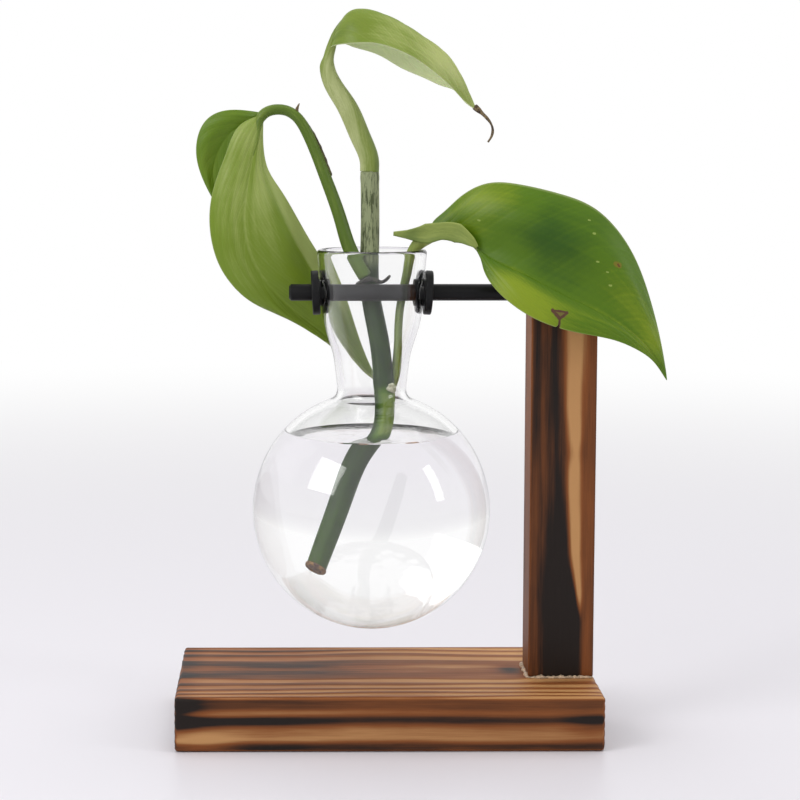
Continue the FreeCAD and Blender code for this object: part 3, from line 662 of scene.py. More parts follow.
# Shader nodes
class NodeSketch:
    """Adds and links nodes in one tree, so that a material reads from top to bottom."""

    def __init__(self, tree):
        self.tree = tree

    def feed(self, socket, value):
        """Links a socket to another's value, or sets its own."""
        if isinstance(value, bpy.types.NodeSocket):
            self.tree.links.new(value, socket)
        elif socket.type == "RGBA":
            socket.default_value = (*tuple(value)[:3], 1.0)
        else:
            socket.default_value = value

    def feed_all(self, sockets, **values):
        """Feeds sockets by name, with _ for a space."""
        for label, value in values.items():
            self.feed(sockets[label.replace("_", " ")], value)

    def node(self, kind, inputs=None, **settings):
        node = self.tree.nodes.new(kind)
        for label, value in settings.items():
            setattr(node, label, value)
        for label, value in (inputs or {}).items():
            self.feed(node.inputs[label], value)
        return node

    def maths(self, operation, first, second=0.0, clamp=False):
        node = self.node("ShaderNodeMath", {0: first, 1: second}, operation=operation, use_clamp=clamp)
        return node.outputs[0]

    def times(self, first, second):
        return self.maths("MULTIPLY", first, second)

    def plus(self, first, second):
        return self.maths("ADD", first, second)

    def minus(self, first, second):
        return self.maths("SUBTRACT", first, second)

    def vary(self, level, field, amount):
        """Adds a field from 0 to 1 to a level, half of it above and half below."""
        return self.plus(level, self.times(self.minus(field, 0.5), amount))

    def between(self, value, low, high):
        """0 on low's side, 1 on high's and smooth between them."""
        return self.node(
            "ShaderNodeMapRange", {"Value": value, "From Min": low, "From Max": high},
            interpolation_type="SMOOTHSTEP",
        ).outputs[0]

    def spread(self, value, low, high):
        """Takes a value from 0 to 1 to the range from low to high."""
        return self.node("ShaderNodeMapRange", {"Value": value, "To Min": low, "To Max": high}).outputs[0]

    def mix(self, factor, first, second):
        return self.node("ShaderNodeMix", {0: factor, 6: first, 7: second}, data_type="RGBA").outputs[2]

    def three_tones(self, level, given):
        """Dark at -1, Middle at 0 and Light at 1."""
        deep = self.mix(self.between(level, -1.0, 0.0), given["Dark"], given["Middle"])
        return self.mix(self.between(level, 0.0, 1.0), deep, given["Light"])

    def vector(self, operation, first, second, output=0):
        return self.node("ShaderNodeVectorMath", {0: first, 1: second}, operation=operation).outputs[output]

    def stretch(self, vector, sizes):
        return self.vector("MULTIPLY", vector, sizes)

    def dot(self, first, second):
        return self.vector("DOT_PRODUCT", first, second, "Value")

    def distance(self, first, second):
        return self.vector("DISTANCE", first, second, "Value")

    def noise(self, vector, sizes, detail=2.0, roughness=0.5, distortion=0.0):
        """Soft noise from 0 to 1 in a stretched vector."""
        return self.node("ShaderNodeTexNoise", {
            "Vector": self.stretch(vector, sizes), "Scale": 1.0, "Detail": detail, "Roughness": roughness,
            "Distortion": distortion,
        }).outputs[0]

    def parts(self, vector):
        return tuple(self.node("ShaderNodeSeparateXYZ", {0: vector}).outputs)

    def join(self, first, second, third):
        return self.node("ShaderNodeCombineXYZ", {0: first, 1: second, 2: third}).outputs[0]

    def attribute(self, label, output="Vector"):
        return self.node("ShaderNodeAttribute", attribute_name=label).outputs[output]

    def position(self):
        return self.node("ShaderNodeTexCoord").outputs["Object"]

    def group(self, name, builder, **inputs):
        """The outputs of the shared node group of that name, which is built when it is first used."""
        tree = bpy.data.node_groups.get(name) or builder(name)
        return self.node("ShaderNodeGroup", inputs, node_tree=tree).outputs

    def bump(self, height, depth, strength=1.0):
        node = self.node("ShaderNodeBump", {"Height": height, "Distance": depth * MM, "Strength": strength})
        return node.outputs[0]

    def rays(self, *kinds):
        """1 for rays of these kinds and 0 for all others."""
        outputs = self.node("ShaderNodeLightPath").outputs
        found = outputs[f"Is {kinds[0]} Ray"]
        for kind in kinds[1:]:
            found = self.maths("MAXIMUM", found, outputs[f"Is {kind} Ray"])
        return found

    def mix_shaders(self, share, first, second):
        inputs = {0: share, 1: first.outputs[0], 2: second.outputs[0]}
        return self.node("ShaderNodeMixShader", inputs).outputs[0]


def new_group(name, outputs=("Colour", "Roughness", "Height"), **inputs):
    """An empty node group and the sockets inside it. Its inputs are listed by kind."""
    kinds = {"colour": "NodeSocketColor", "vector": "NodeSocketVector", "value": "NodeSocketFloat"}
    tree = bpy.data.node_groups.new(name, "ShaderNodeTree")
    for kind, labels in inputs.items():
        for label in labels:
            tree.interface.new_socket(label, in_out="INPUT", socket_type=kinds[kind])
    for label in outputs:
        kind = "colour" if label == "Colour" else "value"
        tree.interface.new_socket(label, in_out="OUTPUT", socket_type=kinds[kind])
    entry = tree.nodes.new("NodeGroupInput")
    result = tree.nodes.new("NodeGroupOutput")
    return tree, NodeSketch(tree), entry.outputs, result.inputs


def new_material(name, **constants):
    """A Principled material whose plain values are set on its own sockets."""
    material = bpy.data.materials.new(name)
    material.use_nodes = True
    sketch = NodeSketch(material.node_tree)
    shader = material.node_tree.nodes["Principled BSDF"]
    sketch.feed_all(shader.inputs, **constants)
    return material, sketch, shader


def lay_skin(sketch, shader, found, colour, depth, strength):
    """Feeds a skin's colour, roughness and height to the shader. The depth is in millimetres."""
    sketch.feed_all(
        shader.inputs, Base_Color=colour, Roughness=found["Roughness"],
        Normal=sketch.bump(found["Height"], depth, strength),
    )


def build_pine_group(name):
    """Scorched pine: ring lines, flame marks and fine fibres."""
    tree, sketch, given, result = new_group(name, vector=("Grain", "Place"), colour=("Tan", "Brown", "Char"))
    ring, strength, scorch = sketch.parts(given["Grain"])
    fine = sketch.noise(given["Place"], (70, 2300, 2300), 3.0, 0.6)
    broad = sketch.noise(given["Place"], (22, 420, 420), 4.0, 0.6, 0.4)
    cloud = sketch.noise(given["Place"], (30, 90, 90), 3.0, 0.55)
    phase = sketch.maths("FRACT", sketch.vary(ring, broad, 0.35))
    line = sketch.times(sketch.between(phase, *ring_line_rise), sketch.between(phase, *ring_line_fall))
    line = sketch.times(line, strength)
    burn = sketch.vary(scorch, broad, 0.6)
    burn = sketch.vary(burn, fine, 0.40)
    burn = sketch.vary(burn, cloud, 0.6)
    burn = sketch.plus(burn, sketch.times(line, 0.85))
    toasted = sketch.mix(sketch.between(burn, -1.0, 0.15), given["Tan"], given["Brown"])
    sketch.feed_all(
        result, Colour=sketch.mix(sketch.between(burn, -0.05, 1.1), toasted, given["Char"]),
        Roughness=sketch.spread(fine, 0.42, 0.62),
        Height=sketch.plus(sketch.times(fine, 0.6), sketch.times(line, 0.4)),
    )
    return tree


def pine_material(name, wood, along_axis):
    """Scorched pine with its fibres along the X or Z axis."""
    material, sketch, shader = new_material(name, Specular_IOR_Level=0.22)
    x, y, z = sketch.parts(sketch.position())
    grain_place = sketch.join(x, y, z) if along_axis == "X" else sketch.join(z, x, y)
    found = sketch.group(
        "scorched pine", build_pine_group, Grain=sketch.attribute("grain"), Place=grain_place, Tan=wood.tan,
        Brown=wood.brown, Char=wood.char,
    )
    lay_skin(sketch, shader, found, found["Colour"], 0.12, 0.6)
    return material


def build_leaf_group(name):
    """Leaf skin: swept veins, midrib, soft patches and a paler underside."""
    tree, sketch, given, result = new_group(
        name, vector=("Blade", "Place"), value=("Tone", "Veins", "Sweep"),
        colour=("Dark", "Middle", "Light", "Under"),
    )
    along, across, side = sketch.parts(given["Blade"])
    out = sketch.maths("ABSOLUTE", across)
    phase = sketch.minus(along, sketch.times(given["Sweep"], sketch.maths("POWER", out, vein_curve)))
    phase = sketch.vary(phase, sketch.noise(given["Place"], (60, 60, 60)), 0.02)
    calm = sketch.between(along, 0.96, 0.80)
    wave = sketch.maths("PINGPONG", sketch.times(phase, given["Veins"]), 0.5)
    vein = sketch.times(sketch.between(wave, 0.13, 0.02), calm)
    small_wave = sketch.maths("PINGPONG", sketch.times(phase, sketch.times(given["Veins"], 4.0)), 0.5)
    small_vein = sketch.times(sketch.between(small_wave, 0.35, 0.05), calm)
    rib = sketch.between(out, 0.05, 0.015)
    cloud = sketch.noise(given["Place"], (55, 55, 55), 3.0, 0.55)
    cells = sketch.noise(given["Place"], (1900, 1900, 1900))
    fan = sketch.join(sketch.times(across, 3.1), sketch.times(along, 1.1), 0.0)
    bands = sketch.noise(fan, (1.0, 1.0, 1.0), 3.0, 0.55)
    streaks = sketch.noise(fan, (5.5, 2.0, 1.0))
    level = sketch.vary(given["Tone"], cloud, 0.75)
    level = sketch.vary(level, bands, sketch.times(calm, 1.1))
    level = sketch.vary(level, streaks, sketch.times(calm, 0.45))
    level = sketch.vary(level, cells, 0.18)
    for line, amount in ((small_vein, 0.05), (vein, 0.06), (rib, 0.22)):
        level = sketch.plus(level, sketch.times(line, amount))
    upper = sketch.three_tones(level, given)
    pale = sketch.mix(0.72, upper, given["Under"])
    skin = sketch.mix(sketch.between(side, 0.2, -0.2), upper, pale)
    margin = sketch.between(out, 0.965, 1.0)
    sketch.feed_all(
        result, Colour=sketch.mix(sketch.times(margin, 0.55), skin, given["Under"]),
        Roughness=sketch.spread(cells, 0.33, 0.47),
        Height=sketch.plus(sketch.times(cells, 0.35), sketch.times(small_vein, -0.5)),
    )
    return tree


def build_stroke_group(name):
    """A soft mark along a short line, or a round one where the line's ends meet."""
    tree, sketch, given, result = new_group(
        name, ("Mask",), vector=("Place", "Start", "Line"), value=("Radius", "Ragged"),
    )
    edge = sketch.noise(given["Place"], (700, 700, 700), 3.0)
    offset = sketch.vector("SUBTRACT", given["Place"], given["Start"])
    length_squared = sketch.dot(given["Line"], given["Line"])
    share = sketch.maths("DIVIDE", sketch.dot(offset, given["Line"]), sketch.plus(length_squared, 1e-9), True)
    nearest = sketch.stretch(given["Line"], sketch.join(share, share, share))
    away = sketch.vary(sketch.distance(offset, nearest), edge, given["Ragged"])
    mask = sketch.between(away, given["Radius"], sketch.times(given["Radius"], 0.55))
    sketch.feed(result["Mask"], mask)
    return tree


def leaf_material(name, shades, under, veins, sweep, marks):
    """A leaf with its own vein count. A mark is a colour, the (x, z) of its start and end, a radius and a
    raggedness, all in millimetres."""
    material, sketch, shader = new_material(
        name, Coat_Weight=0.03, Coat_Roughness=0.3, Specular_IOR_Level=0.27, Subsurface_Weight=0.08,
        Subsurface_Scale=0.0012, Subsurface_Radius=(0.5, 1.0, 0.2),
    )
    position = sketch.position()
    dark, middle, light = shades
    found = sketch.group(
        "leaf skin", build_leaf_group, Blade=sketch.attribute("blade"), Tone=sketch.attribute("tone", "Fac"),
        Place=position, Dark=dark, Middle=middle, Light=light, Under=under, Veins=veins, Sweep=sweep,
    )
    colour = found["Colour"]
    x, _, z = sketch.parts(position)
    flat_place = sketch.join(x, 0.0, z)
    for mark_colour, (start_x, start_z), (end_x, end_z), radius, ragged in marks:
        stroke = sketch.group(
            "soft stroke", build_stroke_group, Place=flat_place, Start=(start_x * MM, 0.0, start_z * MM),
            Line=((end_x - start_x) * MM, 0.0, (end_z - start_z) * MM), Radius=radius * MM, Ragged=ragged * MM,
        )
        colour = sketch.mix(stroke["Mask"], colour, mark_colour)
    lay_skin(sketch, shader, found, colour, 0.06, 0.5)
    return material


def build_stalk_group(name):
    """Stalk skin: long streaks, soft patches and tones from dark to light."""
    tree, sketch, given, result = new_group(
        name, vector=("Stalk",), value=("Tone",), colour=("Dark", "Middle", "Light"),
    )
    streak = sketch.noise(given["Stalk"], (0.09, 1.5, 0), 3.0, 0.6)
    patch = sketch.noise(given["Stalk"], (0.12, 0.30, 0), 3.0, 0.6)
    fine = sketch.noise(given["Stalk"], (0.8, 5.0, 0))
    level = given["Tone"]
    for field, amount in ((streak, 0.7), (patch, 0.5), (fine, 0.25)):
        level = sketch.vary(level, field, amount)
    sketch.feed_all(
        result, Colour=sketch.three_tones(level, given), Roughness=sketch.spread(fine, 0.36, 0.52),
        Height=sketch.plus(sketch.times(streak, 0.8), sketch.times(fine, 0.2)),
    )
    return tree


def stalk_material(name, shades, depth=0.10, mottle=None, gloss=0.35):
    """A stalk's skin. A mottle is a ground and a dash colour, laid on where the sheath attribute is high."""
    material, sketch, shader = new_material(
        name, Coat_Weight=0.04, Coat_Roughness=0.3, Specular_IOR_Level=gloss,
    )
    marks = sketch.attribute("stalk")
    dark, middle, light = shades
    found = sketch.group(
        "stalk skin", build_stalk_group, Stalk=marks, Tone=sketch.attribute("tone", "Fac"), Dark=dark,
        Middle=middle, Light=light,
    )
    colour = found["Colour"]
    if mottle is not None:
        ground, dash = mottle
        dashes = sketch.between(sketch.noise(marks, (0.16, 0.9, 0), 4.0, 0.7), 0.47, 0.60)
        sheath = sketch.attribute("sheath", "Fac")
        colour = sketch.mix(sketch.times(sheath, 0.72), colour, ground)
        colour = sketch.mix(sketch.times(sketch.times(dashes, sheath), 0.8), colour, dash)
    lay_skin(sketch, shader, found, colour, depth, 0.6)
    return material


def build_fleck_group(name):
    """Flecks of two colours that also vary the gloss."""
    tree, sketch, given, result = new_group(
        name, vector=("Place",), value=("Scale", "Low", "High", "Roughness", "Spread"),
        colour=("Dark", "Light"),
    )
    scale = given["Scale"]
    flecks = sketch.noise(given["Place"], sketch.join(scale, scale, scale), 4.0, 0.6)
    amount = sketch.between(flecks, given["Low"], given["High"])
    sketch.feed_all(
        result, Colour=sketch.mix(amount, given["Dark"], given["Light"]),
        Roughness=sketch.vary(given["Roughness"], flecks, given["Spread"]), Height=flecks,
    )
    return tree


def flecked_material(name, flecks, depth, strength, streaks=(1.0, 1.0, 1.0), **constants):
    """A surface whose colour, gloss and height come from the shared flecks."""
    material, sketch, shader = new_material(name, **constants)
    place_in_piece = sketch.stretch(sketch.position(), streaks)
    found = sketch.group("flecks", build_fleck_group, Place=place_in_piece, Low=0.35, **flecks)
    lay_skin(sketch, shader, found, found["Colour"], depth, strength)
    return material


def rough_material(name, dark, light, roughness, scale, depth):
    """A dull organic or dried surface with speckles of two colours."""
    flecks = {
        "Scale": scale, "Dark": dark, "Light": light, "High": 0.65, "Roughness": roughness, "Spread": 0.16,
    }
    return flecked_material(name, flecks, depth, 0.7, Specular_IOR_Level=0.35)


def satin_material(name, colour, roughness, scale, metallic=0.0, streaks=(1.0, 1.0, 1.0)):
    """Paint, rubber or metal with faint wear in its gloss and tone."""
    lighter = [min(1.0, value * 1.5 + 0.004) for value in colour]
    flecks = {
        "Scale": scale, "Dark": colour, "Light": lighter, "High": 0.8, "Roughness": roughness, "Spread": 0.20,
    }
    return flecked_material(
        name, flecks, 0.03, 0.4, streaks, Metallic=metallic, Specular_IOR_Level=0.16 + 0.34 * metallic,
    )


def clear_material(name, colour, index, ripple):
    """Glass or water. Lamps shine through it, and faint waves from its making show in its surface."""
    material, sketch, shader = new_material(
        name, Base_Color=colour, Roughness=0.0, IOR=index, Transmission_Weight=1.0, Specular_IOR_Level=0.33,
    )
    waves = sketch.noise(sketch.position(), (60, 60, 25))
    sketch.feed(shader.inputs["Normal"], sketch.bump(waves, ripple, 0.5))
    through = sketch.node("ShaderNodeBsdfTransparent", {"Color": (0.95, 0.95, 0.95)})
    either = sketch.mix_shaders(sketch.rays("Shadow"), shader, through)
    sketch.feed(material.node_tree.nodes["Material Output"].inputs["Surface"], either)
    return material


# Wood
def edge_stations(low, high, edge_round, step):
    """Places along one side of a board: close together in its rounded edges and even between them."""
    ends = np.array((0, 0.12, 0.35, 0.65, 1.0)) * edge_round
    inside = np.linspace(low + edge_round, high - edge_round, max(2, int(round((high - low) / step))))
    return np.concatenate([low + ends[:-1], inside, high - ends[-2::-1]])


def board_mesh(low, high, edge_round, steps):
    """A board with rounded edges: vertices, faces and outward directions."""
    stations = [edge_stations(low[a], high[a], edge_round, steps[a]) for a in range(3)]
    counts = [len(s) for s in stations]
    index_of = {}
    places = []

    def corner(key):
        if key not in index_of:
            index_of[key] = len(places)
            places.append([stations[a][key[a]] for a in range(3)])
        return index_of[key]

    faces = []
    for axis in range(3):
        first, second = [a for a in range(3) if a != axis]
        for level in (0, counts[axis] - 1):
            for i in range(counts[first] - 1):
                for j in range(counts[second] - 1):
                    keys = []
                    for di, dj in ((0, 0), (1, 0), (1, 1), (0, 1)):
                        key = [0, 0, 0]
                        key[axis] = level
                        key[first] = i + di
                        key[second] = j + dj
                        keys.append(corner(tuple(key)))
                    faces.append(tuple(keys))
    places = np.array(places)
    core = np.clip(places, np.array(low) + edge_round, np.array(high) - edge_round)
    outward = unit(places - core)
    return core + outward * edge_round, faces, outward


def grooves(ring, strength):
    """How deep the soft wood between the ring lines lies, from 0 to 1."""
    phase = ring - np.floor(ring)
    line = rise_between(phase, *ring_line_rise) * rise_between(phase, *ring_line_fall)
    return (1 - line) * strength


def facing_shares(outward):
    """How far each point faces right, left, back, front, up and down."""
    return [np.clip(sign * outward[:, axis], 0, 1) ** 2 for axis in range(3) for sign in (1, -1)]


def base_grain(places, outward, ring_thickness):
    """Ring lines and flame marks of the base board."""
    x, y, z = places.T
    right, left, back, front, top, under = facing_shares(outward)
    ends = right + left
    drift = soft_noise(places / (60, 22, 30), 3)
    waver = soft_noise(places / (35, 9, 12), 5)
    long_wave = soft_noise(places / (48, 40, 3.2), 9)
    height = z - base_low[2] + 0.9 * soft_noise(places / (40, 40, 40), 11)
    pith_y = 3.0 + 2.5 * drift
    pith_z = base_low[2] - 40.0
    ring = np.sqrt((y - pith_y) ** 2 + (z - pith_z) ** 2) / ring_thickness + 0.25 * waver

    # On top: darker to the left, along the middle, at the back and round a knot by the post. The low base value
    # keeps the top paler than the front: partly its own tone, partly painted light from above.
    top_flame_and_light = -0.72 + 0.34 * rise_between(x, 30, -50)
    top_flame_and_light += 0.46 * bell(y, 2.0 + 2 * drift, 10.5) * rise_between(x, 30, -30)
    top_flame_and_light += 0.25 * rise_between(y, 12, 30) * rise_between(x, 20, -40)
    top_flame_and_light += 1.15 * bell(x, 43.0, 5.0) * bell(y, 1.5, 5.5)
    top_flame_and_light += 0.35 * rise_between(x, -60, -70) + 0.16 * waver + 0.12 * drift

    # In front: a brown upper edge, a black band and a dark foot, with burnt corners
    flame_front = -0.58 + 1.10 * rise_between(height, 12.6, 15.2) + 1.62 * bell(height, 10.4, 2.05)
    flame_front += 1.35 * rise_between(height, 4.8, 2.0) + 0.30 * long_wave
    flame_front += 0.30 * bell(x, -46.0, 22.0) * bell(height, 10.6, 2.0)
    flame_front += 1.45 * bell(x, -71.5, 8.5) * rise_between(height, 4.5, 11.5)
    flame_front -= 0.75 * bell(x, -60.0, 10.0) * rise_between(height, 8.5, 5.0)
    flame_front += 0.60 * bell(x, 66.0, 8.0) * bell(height, 9.0, 3.6)

    flame_end = 0.42 + 0.35 * waver
    flame_back = 0.25 + 0.55 * bell(height, 7.0, 3.0) + 0.30 * long_wave
    weights = top + front + back + ends + under
    scorch = top * top_flame_and_light + front * flame_front + back * flame_back + ends * flame_end + under * 0.1
    strength = top + 0.08 * front + 0.25 * back + 0.8 * ends + 0.6 * under
    # Rounded edges are lighter, except near the left end
    rounded_edge_lightening = 0.55 * (1 - np.max(np.abs(outward), axis=1)) / 0.3 * rise_between(x, -64, -50)
    return ring, strength / weights, scorch / weights - rounded_edge_lightening


def post_grain(places, outward, ring_thickness):
    """Ring lines and flame marks of the post."""
    x, y, z = places.T
    right, left, back, front, top, under = facing_shares(outward)
    ends = top + under
    drift = soft_noise(places / (20, 20, 70), 23)
    waver = soft_noise(places / (6, 6, 38), 25)
    share = (x - post_low[0]) / (post_high[0] - post_low[0]) + 0.02 * drift
    ring = np.sqrt((x - post_high[0] - 14 - 2 * drift) ** 2 + (y + 30) ** 2) / ring_thickness + 0.2 * waver

    # The pale streak on the front: its middle and half its width, as shares of the post's width
    centre = np.interp(z, (38, 48, 60, 88, 133), (0.80, 0.765, 0.71, 0.67, 0.65))
    half = np.interp(z, (36, 42, 56, 88, 110, 133), (0.005, 0.035, 0.075, 0.105, 0.13, 0.15))
    streak = np.exp(-np.abs((share - centre) / half) ** 2.2) * rise_between(z, 36, 48)
    streak *= 1 - 0.30 * bell(z, 94, 4.5) + 0.22 * soft_noise(places / (3, 3, 16), 29)

    # The burnt wood round it, blackest in the lower half and browner at both sides
    lower = rise_between(z + 9 * drift, 88, 42)
    dark = 0.64 + 0.30 * bell(share, 0.08, 0.06) * rise_between(z, 86, 100) + 0.24 * bell(share, 0.42, 0.16)
    dark -= 0.10 * bell(share, 0.20, 0.07)
    dark += 0.62 * lower * rise_between(share, 0.02, 0.34) * rise_between(share, 0.84, 0.70)
    dark -= 0.34 * rise_between(share, 0.78, 0.86) + 0.15 * lower * bell(share, 0.87, 0.07)
    # The front's left edge is paler: partly the wood's own tone, partly a painted highlight from the lamp on
    # the left
    dark -= 0.15 * lower * bell(share, 0.07, 0.06) + 0.40 * rise_between(share, 0.03, 0.0)
    dark += 0.14 * waver + 0.07 * soft_noise(places / (2.5, 2.5, 26), 27)

    flame_front = dark * (1 - streak) - 1.45 * streak
    flame_back = 0.5 + 0.4 * waver - 0.9 * bell(share, 0.35, 0.12) * rise_between(z, 30, 70)
    # The left face is the palest side: partly the wood's own tone, partly painted light from the lamp on the
    # left
    left_flame_and_light = 0.05 + 0.25 * waver + 0.25 * lower
    flame_right = 0.35 + 0.35 * waver
    weights = front + back + left + right + ends
    scorch = front * flame_front + back * flame_back + left * left_flame_and_light + right * flame_right + ends * 0.45
    strength = 0.10 * front + 0.3 * back + 0.2 * left + 0.3 * right + 0.9 * ends
    return ring, strength / weights, scorch / weights


def screw_cutters():
    """The countersunk screw holes in the base board and the post, a little wider than the screws."""
    screw_low, screw_high = node_box("post_screws")
    head = screw_head_radius + running_clearance
    shank = screw_shank_radius + running_clearance
    cone = head - shank
    sink = screw_low[2] - running_clearance
    length = screw_high[2] - sink + running_clearance
    cutters = []
    for x in (screw_low[0] + screw_head_radius, screw_high[0] - screw_head_radius):
        cutters.append((head, head, cutter_reach, (x, 0, sink - cutter_reach / 2), "Z"))
        cutters.append((head, shank, cone, (x, 0, sink + cone / 2), "Z"))
        cutters.append((shank, shank, length, (x, 0, sink + length / 2), "Z"))
    return cutters


def build_board_piece(name, low, high, edge_round, steps, grain_of, along_axis, wood, node):
    places, faces, outward = board_mesh(low, high, edge_round, steps)
    ring, strength, scorch = grain_of(places, outward, wood.ring_thickness / MM)
    rough = 0.25 * soft_noise(places / (4, 4, 4), 31)
    depth = grooves(ring, strength) * (wood.groove_depth / MM) + board_inset * (1 + rough)
    return make_piece(
        name, places - outward * depth[:, None], faces, "stand",
        pine_material(name + "_pine", wood, along_axis), node,
        {"grain": np.stack([ring, strength, scorch], axis=1)},
    )


def build_base_board(settings):
    piece = build_board_piece(
        "base_board_pine", base_low, base_high, base_edge_round, base_steps, base_grain, "X", settings.wood,
        "base_board",
    )
    cut_with_cylinders(piece, screw_cutters(), board_sharp_angle)


def build_post(settings):
    piece = build_board_piece(
        "post_pine", post_low, post_high, post_edge_round, post_steps, post_grain, "Z", settings.wood, "post",
    )
    radius = rod_radius + running_clearance
    length = cutter_reach + bore_depth
    bore = (radius, radius, length, (post_low[0] - cutter_reach + length / 2, 0, rod_z), "X")
    cut_with_cylinders(piece, screw_cutters() + [bore], board_sharp_angle)


def glue_path():
    """Points along the post's left, front and back sides, each with its direction out of the wood."""
    left, right = post_low[0], post_high[0] - glue_end_gap
    front, back = post_low[1], post_high[1]
    corners = np.array([(right, front), (left, front), (left, back), (right, back)])
    path = []
    for start, end, out in zip(corners, corners[1:], ((0.0, -1.0), (-1.0, 0.0), (0.0, 1.0))):
        for step in np.linspace(0, 1, int(math.dist(start, end) / glue_step)):
            path.append((start + (end - start) * step, np.array(out)))
    turned = []
    for index, (point, _) in enumerate(path):
        near = path[max(0, index - 2):index + 3]
        turned.append((point, unit(sum(out for _, out in near))))
    return turned


def build_glue(settings):
    """Squeezed-out glue along the post's left, front and back sides."""
    glue_low, glue_high = node_box("glue_bead")
    gap = post_low[0] - glue_low[0]
    tall = glue_high[2] - glue_low[2]
    path = glue_path()
    places = np.array([(*point, 0) for point, _ in path])
    # Its width varies in slow lumps and in small beads.
    lumps = soft_noise(places / 1.9, 41)
    beads = soft_noise(places / 0.8, 43)
    vertices = []
    arc = np.linspace(0, math.pi / 2, 7)
    for (point, out), lump, bead in zip(path, lumps, beads):
        size = np.clip(0.62 + 0.30 * lump + 0.14 * bead, 0.18, 0.97)
        wide = gap * size
        high = tall * np.clip(size + 0.10 * bead, 0.15, 0.97)
        inside = point - out * glue_root
        vertices.append((*inside, base_high[2] - glue_root))
        for angle in arc:
            reach = out * wide * math.cos(angle) ** 0.8
            vertices.append((*(point + reach), base_high[2] - 0.15 + (high + 0.1) * math.sin(angle) ** 0.8))
        vertices.append((*inside, base_high[2] - 0.1 + high))
    columns = len(arc) + 2
    rows = len(path)
    faces = tube_faces(rows, columns)
    faces.append(tuple(range(columns)))
    faces.append(tuple(range((rows - 1) * columns, rows * columns)))
    glue = settings.wood.glue
    material = rough_material("dried_glue_skin", [value * 0.45 for value in glue], glue, 0.35, 900, 0.12)
    make_piece("glue_squeeze", vertices, faces, "stand", material, "glue_bead")


def build_fittings(settings):
    """The rod, the grommets and the screws keep their solids and get their finishes."""
    look = settings.fittings
    finishes = {
        "rod": satin_material("black_rod_paint", look.rod, 0.38, 500, 0.0, (0.15, 1.0, 1.0)),
        "left_grommet": satin_material("black_rubber_skin", look.rubber, 0.42, 900),
        "post_screws": satin_material("screw_steel_face", look.steel, 0.32, 1500, 1.0),
    }
    finishes["right_grommet"] = finishes["left_grommet"]
    for node, material in finishes.items():
        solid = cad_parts[node]
        solid.data.materials.clear()
        solid.data.materials.append(material)


# Flask
def bulb_and_neck(inset):
    """The flask's outline from its lowest point up to the rim, drawn in by the inset, as (radius, height)
    pairs."""
    radius = bulb_radius - inset
    touch_angle = math.atan2(waist_z - bulb_z, shoulder_x)
    bulb_angles = np.linspace(-math.pi / 2, touch_angle, 84)
    bulb = np.stack([radius * np.cos(bulb_angles), bulb_z + radius * np.sin(bulb_angles)], axis=1)
    bulb[0, 0] = 0
    turn = np.linspace(touch_angle + math.pi, math.pi, 14)[1:]
    round_radius = shoulder_round + inset
    shoulder = np.stack([
        shoulder_x + round_radius * np.cos(turn), waist_z + round_radius * np.sin(turn),
    ], axis=1)
    rise = rod_z - waist_z
    heights = [waist_z] + [waist_z + share * rise for share in neck_rise_shares] + [rod_z, rim_z]
    widening = neck_radius_at_rod - waist_radius
    radii = [waist_radius] + [waist_radius + share * widening for share in neck_spread_shares]
    radii += [neck_radius_at_rod, rim_radius]
    levels = np.linspace(waist_z, rim_z - glass_wall / 2, 44)[1:]
    flare = (rim_radius - neck_radius_at_rod) / (rim_z - rod_z)
    neck_radii = cubic_through(heights, np.array(radii) - inset, levels, (0.0, flare))
    neck = np.stack([neck_radii, levels], axis=1)
    return np.concatenate([bulb, shoulder, neck])


def build_flask(settings):
    """The glass, with the two holes that the rod and the grommets pass."""
    outer = bulb_and_neck(glass_inset)
    inner = bulb_and_neck(glass_wall)
    rim_middle = (outer[-1] + inner[-1]) / 2
    rim_round = (outer[-1, 0] - inner[-1, 0]) / 2
    turn = np.linspace(0, math.pi, 12)[1:-1]
    rim = np.stack([
        rim_middle[0] + rim_round * np.cos(turn), rim_middle[1] + (rim_round + glass_inset) * np.sin(turn),
    ], axis=1)
    profile = np.concatenate([outer, rim, inner[::-1]])
    vertices, faces = lathe(profile, settings.flask.segments, axis_x)
    material = clear_material("clear_glass_body", settings.flask.glass, 1.47, 0.02)
    piece = make_piece("flask_glass", vertices, faces, "flask", material, "glass_flask")
    holes = (grommet_hole_radius, grommet_hole_radius, 4 * rim_radius, (axis_x, 0, rod_z), "X")
    cut_with_cylinders(piece, [holes], glass_sharp_angle)


def build_water(settings):
    """Water that climbs a little at the glass and at the stem."""
    level = water_high[2] - water_level_drop
    climb = settings.flask.meniscus / MM
    outline = bulb_and_neck(glass_wall - water_overlap)
    below = outline[outline[:, 1] < level + climb]
    wall = np.interp(level + climb, outline[:, 1], outline[:, 0])
    inward = wall * (1 - np.linspace(0, 1, 70) ** 2)
    heights = level + climb * np.exp(-(wall - inward) / meniscus_reach)
    surface = np.stack([inward, heights], axis=1)
    surface[-1, 0] = 0
    profile = np.concatenate([below, surface])
    vertices, faces = lathe(profile, settings.flask.segments, axis_x)
    on_top = vertices[:, 2] > level - water_top_band
    stem_x, stem_y, _ = stem_points()[1]
    away = np.hypot(vertices[:, 0] - stem_x, vertices[:, 1] - stem_y) - stem_radius
    near_wall = np.hypot(vertices[:, 0] - axis_x, vertices[:, 1]) > wall - water_still_edge
    rise = stem_climb * np.exp(-np.clip(away, 0, None))
    rise += sum(depth * soft_noise(vertices / sizes, seed) for depth, sizes, seed in water_ripples)
    vertices[:, 2] += np.where(on_top & ~near_wall, rise, 0)
    material = clear_material("water_body", settings.flask.water, 1.333, 0.0)
    make_piece("water_fill", vertices, faces, "flask", material, "water")


